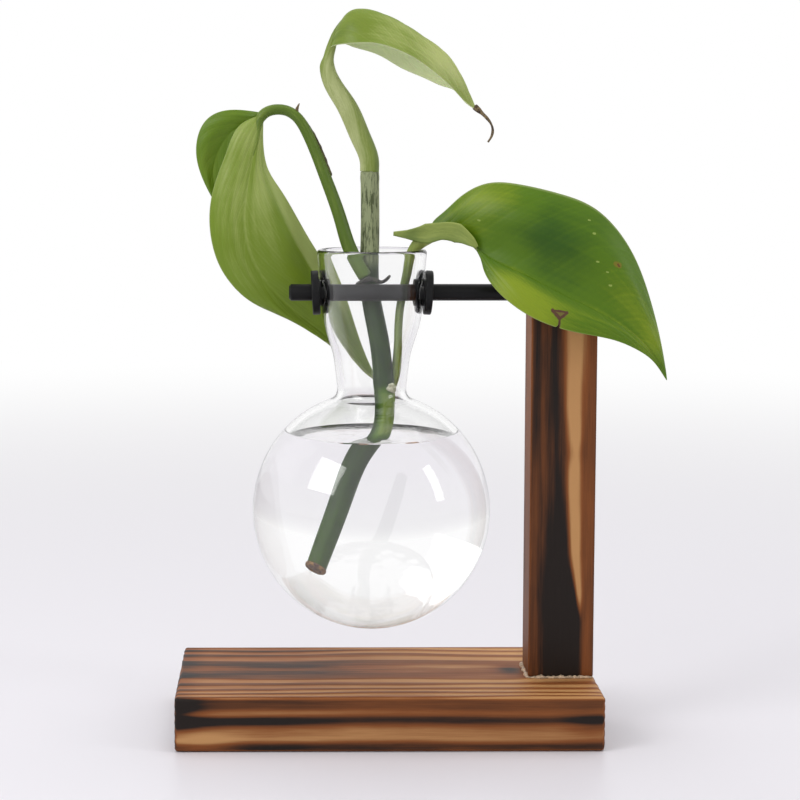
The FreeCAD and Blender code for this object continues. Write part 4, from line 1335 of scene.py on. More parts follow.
# Cutting
def stem_points():
    """The stem's foot, its points at the water's surface, the waist, the rod and the rim, and its top."""
    bulb_centre = (axis_x, 0, bulb_z)
    spans = (inner_bulb_radius,) * 3
    foot = place(stem_foot_shares, spans, bulb_centre)
    surface = place(stem_surface_shares, spans, bulb_centre)
    lean = inner_waist_radius - stem_radius - stem_wall_gap
    angle = math.radians(stem_waist_angle)
    waist = np.array((axis_x + lean * math.cos(angle), lean * math.sin(angle), waist_z))
    crossing = np.array((axis_x - stem_bow / 2, rod_radius + stem_radius + stem_rod_gap, rod_z))
    middle = (waist + crossing) / 2 + np.array((stem_bow, 0, 0))
    rim = np.array((axis_x - stem_bow / 2, inner_rim_radius - stem_radius - stem_rim_gap, rim_z))
    top = rim + np.array((0, stem_top_lean, stem_top_rise))
    return [foot, surface, waist, middle, crossing, rim, top]


def top_petiole_points():
    spans = (top_petiole_sway, top_petiole_sway, top_petiole_rise)
    return [place(shares, spans, stem_points()[-1]) for shares in top_petiole_shares]


def left_petiole_points():
    crossing = stem_points()[4]
    lift = rod_radius + left_petiole_radius
    foot = np.array((crossing[0] - stem_radius * left_petiole_foot_share, lift, rod_z + lift))
    x_share, y_share = left_petiole_rim_shares
    rim = np.array((axis_x + x_share * inner_rim_radius, y_share * inner_rim_radius, rim_z))
    spans = (left_petiole_reach, left_petiole_reach, left_petiole_rise)
    return [foot, rim] + [place(shares, spans, rim) for shares in left_petiole_shares]


def right_petiole_points():
    points = []
    for (x_share, y_share), height_share in zip(right_petiole_shares, right_petiole_height_shares):
        span = inner_waist_radius + height_share * (neck_radius_at_rod - waist_radius)
        height = waist_z + height_share * (rod_z - waist_z)
        points.append(np.array((axis_x + x_share * span, y_share * span, height)))
    inner_rod_radius = neck_radius_at_rod - glass_wall
    behind_rod = rod_radius + right_petiole_radius * right_petiole_squeeze_share + right_petiole_rod_gap
    low_share, high_share = right_petiole_rod_shares
    points.append(np.array((axis_x + low_share * inner_rod_radius, behind_rod, rod_z)))
    points.append(np.array((axis_x + high_share * inner_rod_radius, behind_rod, rod_z + rod_radius)))
    at_rim = inner_rim_radius - right_petiole_radius - right_petiole_rim_gap
    points.append(place(right_petiole_lean_shares, (at_rim, behind_rod, rim_z - rod_z), (axis_x, 0, rod_z)))
    points.append(np.array((axis_x + at_rim, 0, rim_z)))
    points.append(np.array((axis_x + rim_radius, -right_petiole_radius, rim_z + right_petiole_over_rim)))
    return points


def sheath_start():
    return right_petiole_points()[-1] + np.array((
        -sheath_back_share * sheath_spans[0], 0, sheath_lift_share * right_petiole_radius,
    ))


def add_stalk(
        name, material, node, points, radius, taper, rings, sides, shape, tone_of=None, ends=(0.25, 0.25),
        sheath_of=None):
    """A stalk on the flask, with tones worked out from the share along it and the angle round it."""
    radii = [radius * share for share in taper]
    vertices, faces, marks = stalk(points, radii, rings, sides, shape, ends)
    angles = marks[:, 1] / max(radii)
    share = marks[:, 2]
    attributes = {"stalk": marks, "tone": np.zeros(len(marks))}
    if tone_of is not None:
        attributes["tone"] = tone_of(share, angles, vertices)
    if sheath_of is not None:
        attributes["sheath"] = sheath_of(vertices)
    make_piece(name, vertices, faces, "flask", material, node, attributes)


def drawn_stem_points():
    """The stem's points, with its bend just under the water."""
    points = stem_points()
    down = points[0] - points[1]
    bend = points[1] + down * 0.16 + (-1.5, 0, 0.4)
    low_bend = points[1] + down * 0.5 + (-1.4, 0, 0)
    return [points[0], low_bend, bend] + points[1:]


def build_main_stem(settings):
    plant = settings.plant

    def stem_shape(share, turns):
        ridges = 0.022 * np.cos(5 * turns + 0.6) + 0.012 * np.cos(9 * turns)
        ring = 0.05 * bell(share, 0.475, 0.012) + 0.04 * bell(share, 0.985, 0.01)
        return 0.965 + ridges + ring

    def stem_tone(share, angles, vertices):
        heights = vertices[:, 2]
        under_water = rise_between(heights, water_high[2] + 1, water_high[2] - 2)
        right_half = soft_step(np.cos(angles + 0.55) + 0.25, 4.0)
        clasp = rise_between(heights, water_high[2] - 1, water_high[2] + 2)
        clasp = clasp * rise_between(heights, waist_z + 3, waist_z - 1)
        tones = -0.72 + 0.50 * under_water * rise_between(heights, 90, 50)
        return tones + 1.15 * clasp * right_half

    def stem_sheath(vertices):
        return rise_between(vertices[:, 2], rod_z + 6, rod_z + 14)

    shades = (plant.stalk_dark, plant.stalk_mid, plant.stalk_light)
    mottle = (tone(182, 190, 148), tone(56, 66, 36))
    green = stalk_material("stem_green_skin", shades, 0.06, mottle, 0.12)
    taper = stem_taper_shares[:1] + stem_bend_shares + stem_taper_shares[1:]
    add_stalk(
        "main_stem", green, "vine_stem", drawn_stem_points(), stem_radius, taper, 170, 48,
        stem_shape, stem_tone, (0.0, 0.06), stem_sheath,
    )
    points = stem_points()
    down = unit(points[0] - points[1])
    cut = [points[0] + down * step for step in (-0.3, stem_cut_thickness * 0.5, stem_cut_thickness)]

    def cut_shape(share, turns):
        return 1 + 0.035 * np.cos(7 * turns + 1) + 0.02 * np.cos(17 * turns)

    brown = rough_material("cut_brown_skin", tone(74, 44, 34), tone(168, 128, 74), 0.6, 1400, 0.25)
    add_stalk(
        "stem_cut", brown, "stem_cut_end", cut, stem_radius, (0.99, 0.97, 0.9), 8, 48, cut_shape,
        None, (0.0, -0.16),
    )
    start = place(scar_place_shares, (stem_radius, stem_radius, scar_length), points[2])
    white = rough_material("scar_white_skin", tone(150, 150, 118), tone(214, 212, 190), 0.6, 1100, 0.2)
    scar = [start, start + (0.5, -0.1, scar_length * 0.5), start + (0.2, 0, scar_length)]

    def scar_shape(share, turns):
        return 1 + 0.18 * np.cos(2 * turns) + 0.08 * np.cos(5 * turns + share * 4)

    add_stalk(
        "stem_scar", white, "node_scar", scar, scar_radius, (1.0, 0.95, 0.5), 14, 24, scar_shape,
    )
    front = points[4] + (0, -stem_radius, rod_radius + root_radius * root_lift_share)
    root_points = [place(shares, (root_reach,) * 3, front) for shares in root_step_shares]

    def root_shape(share, turns):
        return 0.9 + 0.10 * np.cos(3 * turns + 9 * share) + 0.10 * math.sin(23 * share)

    dark = rough_material("root_dark_skin", tone(30, 32, 28), tone(66, 64, 52), 0.6, 1500, 0.2)
    add_stalk(
        "air_root", dark, "aerial_root", root_points, root_radius, (1.0, 0.95, 0.85, 0.6), 50, 20,
        root_shape, None, (0.7, 0.7),
    )


def build_top_stalk(settings):
    plant = settings.plant
    points = top_petiole_points()
    ribs = [place(row[1], top_leaf_spans, points[-1]) for row in top_leaf_shares[:2]]

    def petiole_shape(share, turns):
        sheathed = rise_between(share, 0.0, 0.42) * rise_between(share, 0.72, 0.66)
        wing = 0.38 * bell(turns, math.pi, 0.32) * sheathed
        groove = -0.12 * bell(turns - math.pi, 0.75, 0.3) * sheathed
        return 1.0 + 0.12 * sheathed + groove + wing + 0.012 * np.cos(6 * turns)

    def petiole_tone(share, angles, vertices):
        # Painted light and shade: the left side, towards the lamp, is lighter and the right side darker
        shaded_right_side = soft_step(np.cos(angles) - 0.45, 5.0)
        lit_left_side = soft_step(-np.cos(angles) - 0.55, 5.0)
        higher = rise_between(share, 0.55, 0.95)
        return 0.22 + 0.45 * lit_left_side - 0.62 * shaded_right_side - 0.60 * higher

    shades = (plant.stalk_mid, tone(124, 142, 56), tone(192, 200, 140))
    material = stalk_material("petiole_light_skin", shades)
    add_stalk(
        "top_stalk", material, "top_petiole", points + ribs, top_petiole_radius,
        top_petiole_taper_shares + rib_taper_shares, 110, 40, petiole_shape, petiole_tone, (0.02, 0.3),
    )
    stub = [
        points[4] + (-top_petiole_radius * left, 0, top_stub_length * up)
        for left, up in ((0.5, 0), (0.95, 0.5), (1.35, 1))
    ]

    def flat_shape(share, turns):
        return 1 - 0.35 * np.abs(np.sin(turns))

    def stub_tone(share, angles, vertices):
        return 0.55 - 0.9 * rise_between(share, 0.7, 1.0)

    add_stalk(
        "top_stalk_stub", material, "top_petiole_stub", stub, top_stub_radius,
        (1.0, 0.9, 0.25), 24, 20, flat_shape, stub_tone,
    )


def build_left_stalk(settings):
    plant = settings.plant
    points = left_petiole_points()
    ribs = [place(row[1], left_leaf_spans, points[-1]) for row in left_leaf_shares[:2]]

    def petiole_shape(share, turns):
        groove = -0.14 * bell(turns, 0.9, 0.3)
        return 0.975 + groove + 0.02 * np.cos(4 * turns) + 0.01 * np.cos(9 * turns)

    def petiole_tone(share, angles, vertices):
        # Painted shade darkens the right side, away from the lamp
        shaded_right_side = bell(angles, 0.3, 0.6)
        arch = rise_between(share, 0.72, 0.95)
        return 0.02 - 0.40 * shaded_right_side + 0.45 * arch + 0.12 * np.sin(angles * 2)

    shades = (plant.stalk_dark, tone(82, 108, 22), tone(144, 162, 66))
    add_stalk(
        "left_stalk", stalk_material("petiole_mid_skin", shades), "left_petiole", points + ribs,
        left_petiole_radius, left_petiole_taper_shares + rib_taper_shares, 150, 40, petiole_shape, petiole_tone,
        (0.3, 0.2),
    )
    edge = [
        point + (left_petiole_radius * share * 0.86, 0, left_husk_radius / 2)
        for point, share in list(zip(points, left_petiole_taper_shares))[3:6]
    ]

    def husk_shape(share, turns):
        ragged = 0.07 * math.sin(31 * share) + 0.05 * math.sin(57 * share + 1)
        return (1 - 0.45 * np.abs(np.sin(turns))) * (0.9 + ragged)

    husk = rough_material("husk_brown_skin", plant.dry_dark, tone(98, 98, 56), 0.55, 900, 0.1)
    add_stalk(
        "left_stalk_husk", husk, "left_petiole_husk", edge, left_husk_radius, (1.0, 0.75, 0.6),
        70, 16, husk_shape, None, (0.8, 0.5),
    )
    start = points[5]
    spike = [start, start + (0, 0, left_spike_length / 2), start + (left_spike_radius, 0, left_spike_length)]
    dry = rough_material("spike_brown_skin", plant.dry_dark, plant.dry_light, 0.6, 1500, 0.2)
    add_stalk(
        "left_stalk_spike", dry, "left_petiole_spike", spike, left_spike_radius, (1.0, 0.8, 0.2),
        24, 14, husk_shape, None, (0.2, 0.2),
    )


def build_right_stalk(settings):
    plant = settings.plant

    def petiole_shape(share, turns):
        return 0.97 + 0.03 * np.cos(4 * turns) - 0.10 * bell(turns, math.pi / 2, 0.4)

    def petiole_tone(share, angles, vertices):
        # Painted light: the side facing the front lamps is lighter
        lit_front = 0.5 - 0.5 * np.sin(angles)
        return 0.05 + 0.50 * rise_between(vertices[:, 2], rim_z - 12, rim_z + 2) + 0.25 * lit_front

    shades = (plant.stalk_dark, tone(104, 124, 54), tone(156, 170, 84))
    material = stalk_material("right_petiole_skin", shades)
    add_stalk(
        "right_stalk", material, "right_petiole", right_petiole_points(), right_petiole_radius,
        right_petiole_taper_shares, 150, 36, petiole_shape, petiole_tone, (0.3, 0.2),
    )
    build_sheath(material)


def build_sheath(material):
    """The pale trough round the base of the right leaf: open above, with a free point to the left."""
    points = np.array([place(shares, sheath_spans, sheath_start()) for shares in sheath_shares])
    stations = line_stations(points)
    rows = 90
    columns = 26
    where = np.linspace(0, stations[-1], rows)
    centres = cubic_through(stations, points, where)
    swells = np.clip(np.interp(where, stations, sheath_swell_shares), 0.10, 1)
    along = unit(np.gradient(centres, axis=0))
    level = unit(np.cross((0, 0, 1), along))
    upward = np.cross(along, level)
    vertices = []
    marks = []
    tones = []
    for index, swell in enumerate(swells):
        for turn in np.linspace(0, 2 * math.pi, columns, endpoint=False):
            high = sheath_spans[2] * swell * math.sin(turn)
            deep = 0.55 * sheath_thickness * (0.4 + 0.6 * swell) * math.cos(turn)
            fold = -0.9 * sheath_thickness * swell * math.sin(turn) ** 2
            vertices.append(centres[index] + upward[index] * high * 0.97 + level[index] * (deep + fold * 0.7))
            marks.append((where[index], turn * 2.2, index / (rows - 1)))
            # Painted light and shade: the trough's upper edge is lighter and its underside darker. A darker
            # patch lies near its start.
            rim = 0.35 * max(0.0, math.sin(turn)) ** 6 - 0.45 * max(0.0, -math.sin(turn)) ** 3
            tones.append(0.55 + rim - 0.30 * bell(index / rows, 0.2, 0.08))
    faces = tube_faces(rows, columns)
    for row in (0, rows - 1):
        faces += cap_faces(row, columns, len(vertices))
        vertices.append(centres[row])
        marks.append((where[row], 0, 0))
        tones.append(0.6)
    make_piece(
        "right_leaf_trough", vertices, faces, "flask", material, "right_leaf_sheath",
        {"stalk": marks, "tone": tones},
    )


# Leaves
def end_row(middle, next_row, rib_share, width):
    across = unit(next_row[-1] - next_row[0]) * width
    return [middle - across * rib_share, middle, middle + across * (1 - rib_share)]


def mean_rib_share(rows):
    shares = []
    for first, rib, last in rows:
        first_side = np.linalg.norm(rib - first)
        shares.append(first_side / (first_side + np.linalg.norm(last - rib)))
    return sum(shares) / len(shares)


def blade_points(row, facings):
    """Five points across the blade, lifted between the midrib and the edges."""
    first, rib, last = row
    first_facing, last_facing = unit(facings[0]), unit(facings[1])
    first_middle = (first + rib) / 2 + first_facing * leaf_crown_share * np.linalg.norm(rib - first)
    last_middle = (last + rib) / 2 + last_facing * leaf_crown_share * np.linalg.norm(last - rib)
    return np.array((first, first_middle, rib, last_middle, last))


def leaf_surface(start, spans, row_shares, tip_shares, facings, rows_wanted, columns_wanted):
    """The blade's middle surface, and for each point its share along and its place across from -1 to 1."""
    rows = [[place(shares, spans, start) for shares in row] for row in row_shares]
    tip = place(tip_shares, spans, start)
    rib_share = mean_rib_share(rows)
    first = end_row(np.array(start, float), rows[0], rib_share, leaf_end_width)
    last = end_row(tip, rows[-1], rib_share, leaf_tip_width)
    grid = np.array([blade_points(row, facings) for row in [first] + rows + [last]])
    steps = [np.linalg.norm(np.diff(grid, axis=axis), axis=2).mean(axis=1 - axis) for axis in (0, 1)]
    along, across = (running_total(step) / step.sum() for step in steps)
    ends = (1 - np.cos(np.linspace(0, math.pi, rows_wanted))) / 2
    along_wanted = 0.7 * np.linspace(0, 1, rows_wanted) + 0.3 * ends
    lengthwise = cubic_through(along, grid, along_wanted)
    left = np.linspace(0, across[2], columns_wanted // 2 + 1)
    right = np.linspace(across[2], 1, columns_wanted // 2 + 1)[1:]
    across_wanted = np.concatenate([left, right])
    surface = cubic_through(across, lengthwise.transpose(1, 0, 2), across_wanted).transpose(1, 0, 2)
    from_rib = across_wanted - across[2]
    signed = np.where(from_rib < 0, from_rib / across[2], from_rib / (1 - across[2]))
    return surface, along_wanted, signed


def surface_normals(surface, facing):
    down = np.gradient(surface, axis=0)
    over = np.gradient(surface, axis=1)
    normals = unit(np.cross(down, over) + 1e-12)
    if np.mean(normals @ unit(facing)) < 0:
        normals = -normals
    return normals


def leaf_faces(rows, columns):
    """The upper side, the lower side turned over and the edge that joins them."""
    count = rows * columns
    faces = grid_faces(rows, columns)
    faces += [tuple(reversed(face)) for face in grid_faces(rows, columns, count)]
    border = list(range(columns))
    border += [row * columns + columns - 1 for row in range(1, rows)]
    border += [(rows - 1) * columns + column for column in range(columns - 2, -1, -1)]
    border += [row * columns for row in range(rows - 2, 0, -1)]
    for first, second in zip(border, border[1:] + border[:1]):
        faces.append((first, second, second + count, first + count))
    return faces


def add_leaf(
        name, material, node, leaf_shape, counts, veins, sweep, plant, spots=(), nicks=(), bands=(),
        rib_share=1.0):
    """A leaf with its midrib and veins pressed into it. Spots are (x, z, radius, amount) and lighten or
    darken it. Nicks are (along, side, half width, depth). Bands are (side, middle, half length, inner, outer,
    amount) and change one half's tone between inner and outer, on the way from the midrib to the edge."""
    start, spans, row_shares, tip_shares, facings = leaf_shape
    surface, along, across = leaf_surface(start, spans, row_shares, tip_shares, facings, *counts)
    rows, columns = surface.shape[:2]
    along_grid = np.repeat(along[:, None], columns, axis=1)
    across_grid = np.repeat(across[None, :], rows, axis=0)
    for nick_along, side, half_width, depth in nicks:
        near = np.clip(1 - np.abs(along_grid - nick_along) / half_width, 0, 1)
        reach = near * depth * np.clip((across_grid * side - 0.55) / 0.45, 0, 1)
        middle = surface[:, columns // 2][:, None, :]
        surface = surface + (middle - surface) * reach[:, :, None]
    normals = surface_normals(surface, np.mean(facings, axis=0))
    out = np.abs(across_grid)
    phase = (along_grid - sweep * out ** vein_curve) * veins
    wave = np.abs(phase - np.round(phase))
    fade = rise_between(out, 0.0, 0.08) * rise_between(out, 1.0, 0.85)
    fade = fade * rise_between(along_grid, 0.0, 0.08) * rise_between(along_grid, 1.0, 0.9)
    vein_depth = plant.vein_depth / MM
    pressed = -vein_depth * bell(wave, 0, 0.12) * fade
    quilt = 0.9 * vein_depth * np.sin(np.pi * wave) ** 2 * fade
    rib = -rib_share * plant.rib_depth / MM * bell(out, 0, 0.045) * rise_between(along_grid, 1.0, 0.85)
    places = surface.reshape(-1, 3)
    waves = leaf_ruffle * soft_noise(places / (11, 11, 11), 61).reshape(rows, columns) * out ** 2 * fade
    middle = surface + normals * (pressed + quilt + waves)[:, :, None]
    edge_to_rib = (leaf_edge_thickness, leaf_blade_thickness, leaf_rib_thickness)
    thickness = cubic_through((-1, -0.5, 0, 0.5, 1), edge_to_rib + edge_to_rib[1::-1], across)
    widths = np.linalg.norm(surface[:, -1] - surface[:, 0], axis=1)
    half = np.minimum(thickness[None, :] / 2, 0.08 * widths[:, None]) * 0.9
    upper = middle + normals * (half + np.maximum(rib, -half))[:, :, None]
    lower = middle - normals * half[:, :, None]
    vertices = np.concatenate([upper.reshape(-1, 3), lower.reshape(-1, 3)])
    blade = np.stack([along_grid.ravel(), across_grid.ravel(), np.ones(rows * columns)], axis=1)
    tones = np.zeros(len(vertices))
    for x, z, radius, amount in spots:
        tones += amount * np.exp(-((vertices[:, 0] - x) ** 2 + (vertices[:, 2] - z) ** 2) / radius ** 2)
    for side, centre, half_length, inner, outer, amount in bands:
        lit = amount * rise_between(across_grid * side, inner, outer) * bell(along_grid, centre, half_length)
        tones += np.tile(lit.ravel(), 2)
    make_piece(
        name, vertices, leaf_faces(rows, columns), "flask", material, node,
        {"blade": np.concatenate([blade, blade * (1, 1, -1)]), "tone": tones},
    )


def build_top_leaf(settings):
    plant = settings.plant
    start = top_petiole_points()[-1]
    shades = (plant.top_leaf_dark, plant.top_leaf_middle, plant.top_leaf_light)
    veins, sweep = 9.0, 0.30
    brown_tip = (tone(96, 62, 50), (31.0, 210.5), (31.4, 210.1), 0.7, 0.8)
    # The underside colour carries painted light shining through the leaf
    material = leaf_material("leaf_top_skin", shades, plant.top_leaf_under_and_glow, veins, sweep, [brown_tip])
    spots = (
        (-14, 236, 14, -0.35), (2, 232, 12, 0.35), (20, 222, 11, 0.75), (34, 205, 9, 0.60), (-18, 233, 6, -0.2),
    )
    add_leaf(
        "top_leaf_blade", material, "top_leaf",
        (start, top_leaf_spans, top_leaf_shares, top_leaf_tip_shares, top_leaf_facings),
        (150, 56), veins, sweep, plant, spots,
    )
    tip = place(top_leaf_tip_shares, top_leaf_spans, start)
    points = [place(shares, (dry_tip_length,) * 3, tip) for shares in dry_tip_shares]

    def curl_shape(share, turns):
        return (1 - 0.40 * np.abs(np.sin(turns + 3 * share))) * (0.95 + 0.12 * math.sin(19 * share))

    dry = rough_material("dry_tip_skin", plant.dry_dark, plant.dry_light, 0.6, 900, 0.2)
    add_stalk(
        "top_leaf_curl", dry, "top_leaf_dry_tip", points, dry_tip_radius, dry_tip_taper_shares,
        70, 18, curl_shape, None, (0.3, 0.4),
    )


def build_left_leaf(settings):
    plant = settings.plant
    start = left_petiole_points()[-1]
    shades = (plant.left_leaf_dark, plant.left_leaf_middle, plant.left_leaf_light)
    veins, sweep = 8.0, 0.62
    material = leaf_material("leaf_olive_skin", shades, plant.leaf_under, veins, sweep, ())
    spots = (
        (-44, 200, 9, 0.55), (-50, 178, 10, 0.40), (-56, 165, 9, -0.15), (-38, 162, 10, 0.10),
        (-42, 145, 12, -0.10), (-32, 138, 10, -0.15), (-24, 130, 10, 0.05), (-58, 190, 8, 0.15),
        (-50, 148, 8, 0.05), (-20, 155, 8, 0.4),
    )
    # Bands on one half: a lighter streak by the midrib near the petiole; a pale edge where the half folds back,
    # partly the underside's own colour and partly painted light shining through; and a darker fold line, which
    # is painted shade
    bands = (
        (1, 0.20, 0.16, 0.05, 0.35, 0.45), (1, 0.45, 0.24, 0.66, 0.80, 1.5), (1, 0.45, 0.24, 0.30, 0.62, -0.40),
    )
    add_leaf(
        "left_leaf_blade", material, "left_leaf",
        (start, left_leaf_spans, left_leaf_shares, left_leaf_tip_shares, left_leaf_facings),
        (190, 72), veins, sweep, plant, spots, (), bands, 0.35,
    )
    lobe_start = start + (0, leaf_rib_thickness, leaf_rib_thickness / 2)
    # The lobe's darker greens are painted shade
    deep = (plant.back_lobe_dark, plant.back_lobe_middle, plant.back_lobe_light)
    veins, sweep = 6.0, 0.45
    shaded_lobe_material = leaf_material("leaf_shaded_lobe_skin", deep, plant.leaf_under, veins, sweep, ())
    add_leaf(
        "left_leaf_back_lobe", shaded_lobe_material, "left_leaf_lobe",
        (lobe_start, left_lobe_spans, left_lobe_shares, left_lobe_tip_shares, left_leaf_facings),
        (90, 44), veins, sweep, plant, ((-62, 190, 9, 0.35), (-63, 172, 9, -0.3)), (), (), 0.35,
    )


def build_right_leaf(settings):
    plant = settings.plant
    start = place(right_leaf_start_shares, sheath_spans, sheath_start())
    # Pale specks, the bite in the lower edge, and a dry spot near the right edge
    marks = [(tone(146, 166, 80), (x, z), (x + 0.5, z - 0.1), radius, 0.4) for x, z, radius in leaf_specks]
    marks.append((tone(112, 104, 46), (54.2, 141.8), (56.0, 141.7), 1.3, 0.9))
    marks += [(tone(88, 58, 42), start_at, end_at, radius, 0.55) for start_at, end_at, radius in leaf_bite]
    marks.append((tone(118, 112, 26), (73.3, 157.9), (74.3, 157.3), 1.1, 1.2))
    marks.append((tone(104, 58, 28), (73.9, 157.7), (74.3, 157.1), 0.35, 0.5))
    shades = (plant.right_leaf_dark, plant.right_leaf_middle, plant.right_leaf_light)
    veins, sweep = 10.0, 0.34
    material = leaf_material("leaf_deep_skin", shades, plant.leaf_under, veins, sweep, marks)
    # Spots and band: partly the leaf's own patchy tone and partly painted light and shade, with a lighter sheen
    # streak, a darker middle and a lighter band where the near half folds towards the front
    spots = (
        (30, 176, 10, 0.42), (42, 180, 9, 0.35), (50, 170, 13, -0.65), (58, 160, 13, -0.55),
        (40, 155, 8, 0.15), (36, 148, 9, 0.52), (46, 143, 9, 0.55), (72, 158, 12, 0.10),
        (80, 142, 9, 0.25), (86, 132, 7, 0.45), (60, 182, 9, 0.20), (24, 170, 6, 0.1),
    )
    add_leaf(
        "right_leaf_blade", material, "right_leaf",
        (start, right_leaf_spans, right_leaf_shares, right_leaf_tip_shares, right_leaf_facings),
        (200, 80), veins, sweep, plant, spots, ((0.515, 1, 0.006, 0.12),), ((1, 0.42, 0.22, 0.05, 0.35, 0.32),),
    )


# Stage
def build_floor(stage):
    """A pale floor that turns to white far behind the object."""
    work = bmesh.new()
    bmesh.ops.create_grid(work, x_segments=2, y_segments=2, size=floor_half_size)
    mesh = bpy.data.meshes.new("floor")
    work.to_mesh(mesh)
    work.free()
    floor = bpy.data.objects.new("floor", mesh)
    floor.location = (0, 0, -floor_drop)
    bpy.context.scene.collection.objects.link(floor)
    material, sketch, shader = new_material(
        "pale_floor", Base_Color=stage.floor, Roughness=0.40, Specular_IOR_Level=0.18,
    )
    x, y, _ = sketch.parts(sketch.position())
    away = sketch.distance(sketch.join(x, y, 0.0), (0.0, 0.0, 0.0))
    share = sketch.times(sketch.between(away, *floor_fade), sketch.rays("Camera", "Transmission"))
    white = sketch.node("ShaderNodeEmission", {"Color": (1, 1, 1), "Strength": 1.0})
    both = sketch.mix_shaders(share, shader, white)
    sketch.feed(material.node_tree.nodes["Material Output"].inputs["Surface"], both)
    mesh.materials.append(material)


def build_world(stage):
    """White where the camera, gloss or glass looks at it, and soft light for everything else."""
    world = bpy.data.worlds.new("studio")
    bpy.context.scene.world = world
    world.use_nodes = True
    world.node_tree.nodes.clear()
    sketch = NodeSketch(world.node_tree)
    seen = sketch.rays("Camera", "Glossy", "Transmission")
    soft = sketch.node("ShaderNodeBackground", {"Color": (1, 1, 1), "Strength": stage.ambient})
    white = sketch.node("ShaderNodeBackground", {"Color": (1, 1, 1), "Strength": 1.0})
    sketch.node("ShaderNodeOutputWorld", {"Surface": sketch.mix_shaders(seen, soft, white)})


def add_lamp(name, direction, distance, size, watts, reflected):
    """A soft box that points at the middle of the object. Gloss and glass show it if it is reflected."""
    lamp = bpy.data.lights.new(name, "AREA")
    lamp.shape = "RECTANGLE"
    lamp.size, lamp.size_y = size
    lamp.energy = watts
    lamp_object = bpy.data.objects.new(name, lamp)
    bpy.context.scene.collection.objects.link(lamp_object)
    toward = unit(direction)
    lamp_object.location = np.array(lamp_target) + toward * distance
    lamp_object.rotation_euler = (math.acos(toward[2]), 0, math.atan2(toward[0], -toward[1]))
    lamp_object.visible_glossy = lamp_object.visible_transmission = reflected


def build_stage(settings):
    stage = settings.stage
    build_floor(stage)
    build_world(stage)
    for lamp in lamps:
        add_lamp(*lamp)
    camera = bpy.data.cameras.new("camera")
    camera.lens = stage.lens
    camera.sensor_width = 36.0
    camera.shift_x, camera.shift_y = camera_shift
    camera.clip_start = 0.01
    camera.clip_end = 20.0
    view = bpy.data.objects.new("camera", camera)
    view.location = camera_place
    view.rotation_euler = (math.radians(90 - camera_pitch_down), 0, math.radians(-camera_turn_right))
    bpy.context.scene.collection.objects.link(view)
    bpy.context.scene.camera = view
    bpy.context.scene.view_settings.view_transform = "Standard"


# Operators
class VASE_OT_base_board(bpy.types.Operator):
    """Builds the scorched base board with its ring grooves"""
    bl_idname = "vase.base_board"
    bl_label = "Base board"

    def execute(self, context):
        build_base_board(context.scene.vase)
        return {"FINISHED"}


class VASE_OT_post(bpy.types.Operator):
    """Builds the scorched post with its bore and flame marks"""
    bl_idname = "vase.post"
    bl_label = "Post"

    def execute(self, context):
        build_post(context.scene.vase)
        return {"FINISHED"}


class VASE_OT_glue(bpy.types.Operator):
    """Builds the squeezed-out glue at the post's foot"""
    bl_idname = "vase.glue"
    bl_label = "Glue"

    def execute(self, context):
        build_glue(context.scene.vase)
        return {"FINISHED"}


class VASE_OT_fittings(bpy.types.Operator):
    """Finishes the rod, the grommets and the screws"""
    bl_idname = "vase.fittings"
    bl_label = "Rod, grommets and screws"

    def execute(self, context):
        build_fittings(context.scene.vase)
        return {"FINISHED"}


class VASE_OT_flask(bpy.types.Operator):
    """Builds the glass flask with its two holes"""
    bl_idname = "vase.flask"
    bl_label = "Flask"

    def execute(self, context):
        build_flask(context.scene.vase)
        return {"FINISHED"}


class VASE_OT_water(bpy.types.Operator):
    """Builds the water with its meniscus"""
    bl_idname = "vase.water"
    bl_label = "Water"

    def execute(self, context):
        build_water(context.scene.vase)
        return {"FINISHED"}


class VASE_OT_main_stem(bpy.types.Operator):
    """Builds the main stem, its cut, its scar and the dark root"""
    bl_idname = "vase.main_stem"
    bl_label = "Main stem"

    def execute(self, context):
        build_main_stem(context.scene.vase)
        return {"FINISHED"}


class VASE_OT_stalks(bpy.types.Operator):
    """Builds the three leaf stalks with their stub, husk, spike and sheath"""
    bl_idname = "vase.stalks"
    bl_label = "Leaf stalks"

    def execute(self, context):
        build_top_stalk(context.scene.vase)
        build_left_stalk(context.scene.vase)
        build_right_stalk(context.scene.vase)
        return {"FINISHED"}


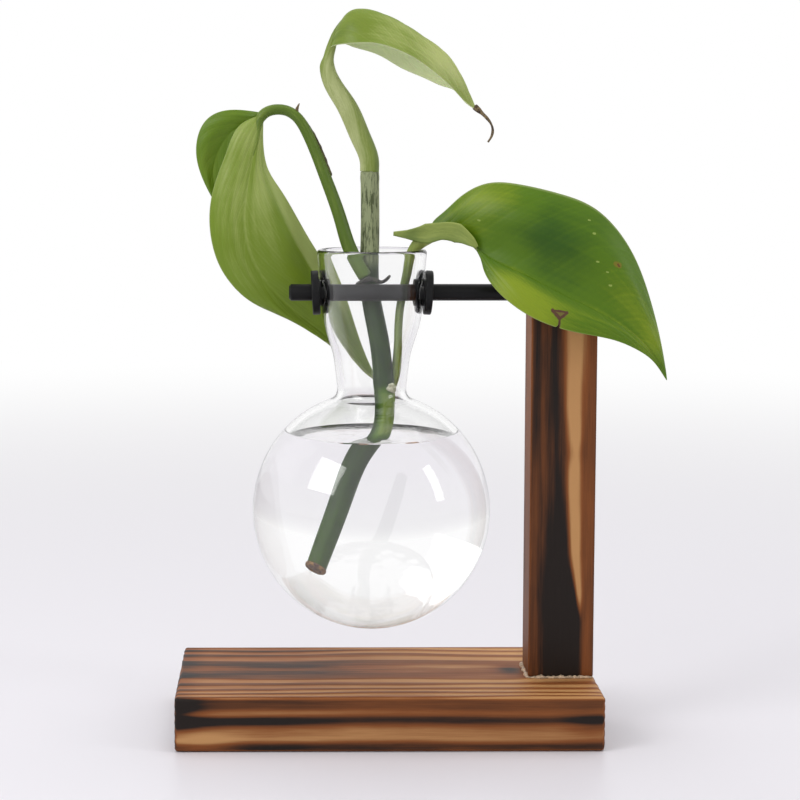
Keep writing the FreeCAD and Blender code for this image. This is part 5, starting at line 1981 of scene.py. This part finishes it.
class VASE_OT_leaves(bpy.types.Operator):
    """Builds the three leaves, the back lobe and the dry tip"""
    bl_idname = "vase.leaves"
    bl_label = "Leaves"

    def execute(self, context):
        build_top_leaf(context.scene.vase)
        build_left_leaf(context.scene.vase)
        build_right_leaf(context.scene.vase)
        return {"FINISHED"}


class VASE_OT_stage(bpy.types.Operator):
    """Sets up the floor, the soft lamps, the white surroundings and the camera"""
    bl_idname = "vase.stage"
    bl_label = "Stage"

    def execute(self, context):
        build_stage(context.scene.vase)
        return {"FINISHED"}


class VASE_PT_sidebar(bpy.types.Panel):
    """Lists the vase's settings and the steps that build it"""
    bl_idname = "VASE_PT_sidebar"
    bl_label = "Propagation vase"
    bl_space_type = "VIEW_3D"
    bl_region_type = "UI"
    bl_category = "Vase"

    def draw(self, context):
        vase = context.scene.vase
        for group in (vase.wood, vase.fittings, vase.flask, vase.plant, vase.stage):
            box = self.layout.box()
            box.label(text=group.bl_rna.name)
            for label in group.__annotations__:
                box.prop(group, label)
        for operator in OPERATORS:
            self.layout.operator(operator.bl_idname)


OPERATORS = (
    VASE_OT_base_board, VASE_OT_post, VASE_OT_glue, VASE_OT_fittings, VASE_OT_flask, VASE_OT_water,
    VASE_OT_main_stem, VASE_OT_stalks, VASE_OT_leaves, VASE_OT_stage,
)
CLASSES = (
    WoodSettings, FittingSettings, FlaskSettings, PlantSettings, StageSettings, VaseSettings,
    *OPERATORS, VASE_PT_sidebar,
)


def register():
    for cls in CLASSES:
        bpy.utils.register_class(cls)
    bpy.types.Scene.vase = bpy.props.PointerProperty(type=VaseSettings)


def unregister():
    del bpy.types.Scene.vase
    for cls in reversed(CLASSES):
        bpy.utils.unregister_class(cls)


def main():
    register()
    bpy.ops.vase.base_board()
    bpy.ops.vase.post()
    bpy.ops.vase.glue()
    bpy.ops.vase.fittings()
    bpy.ops.vase.flask()
    bpy.ops.vase.water()
    bpy.ops.vase.main_stem()
    bpy.ops.vase.stalks()
    bpy.ops.vase.leaves()
    bpy.ops.vase.stage()
    bpy.context.view_layer.update()


if __name__ == "__main__":
    main()
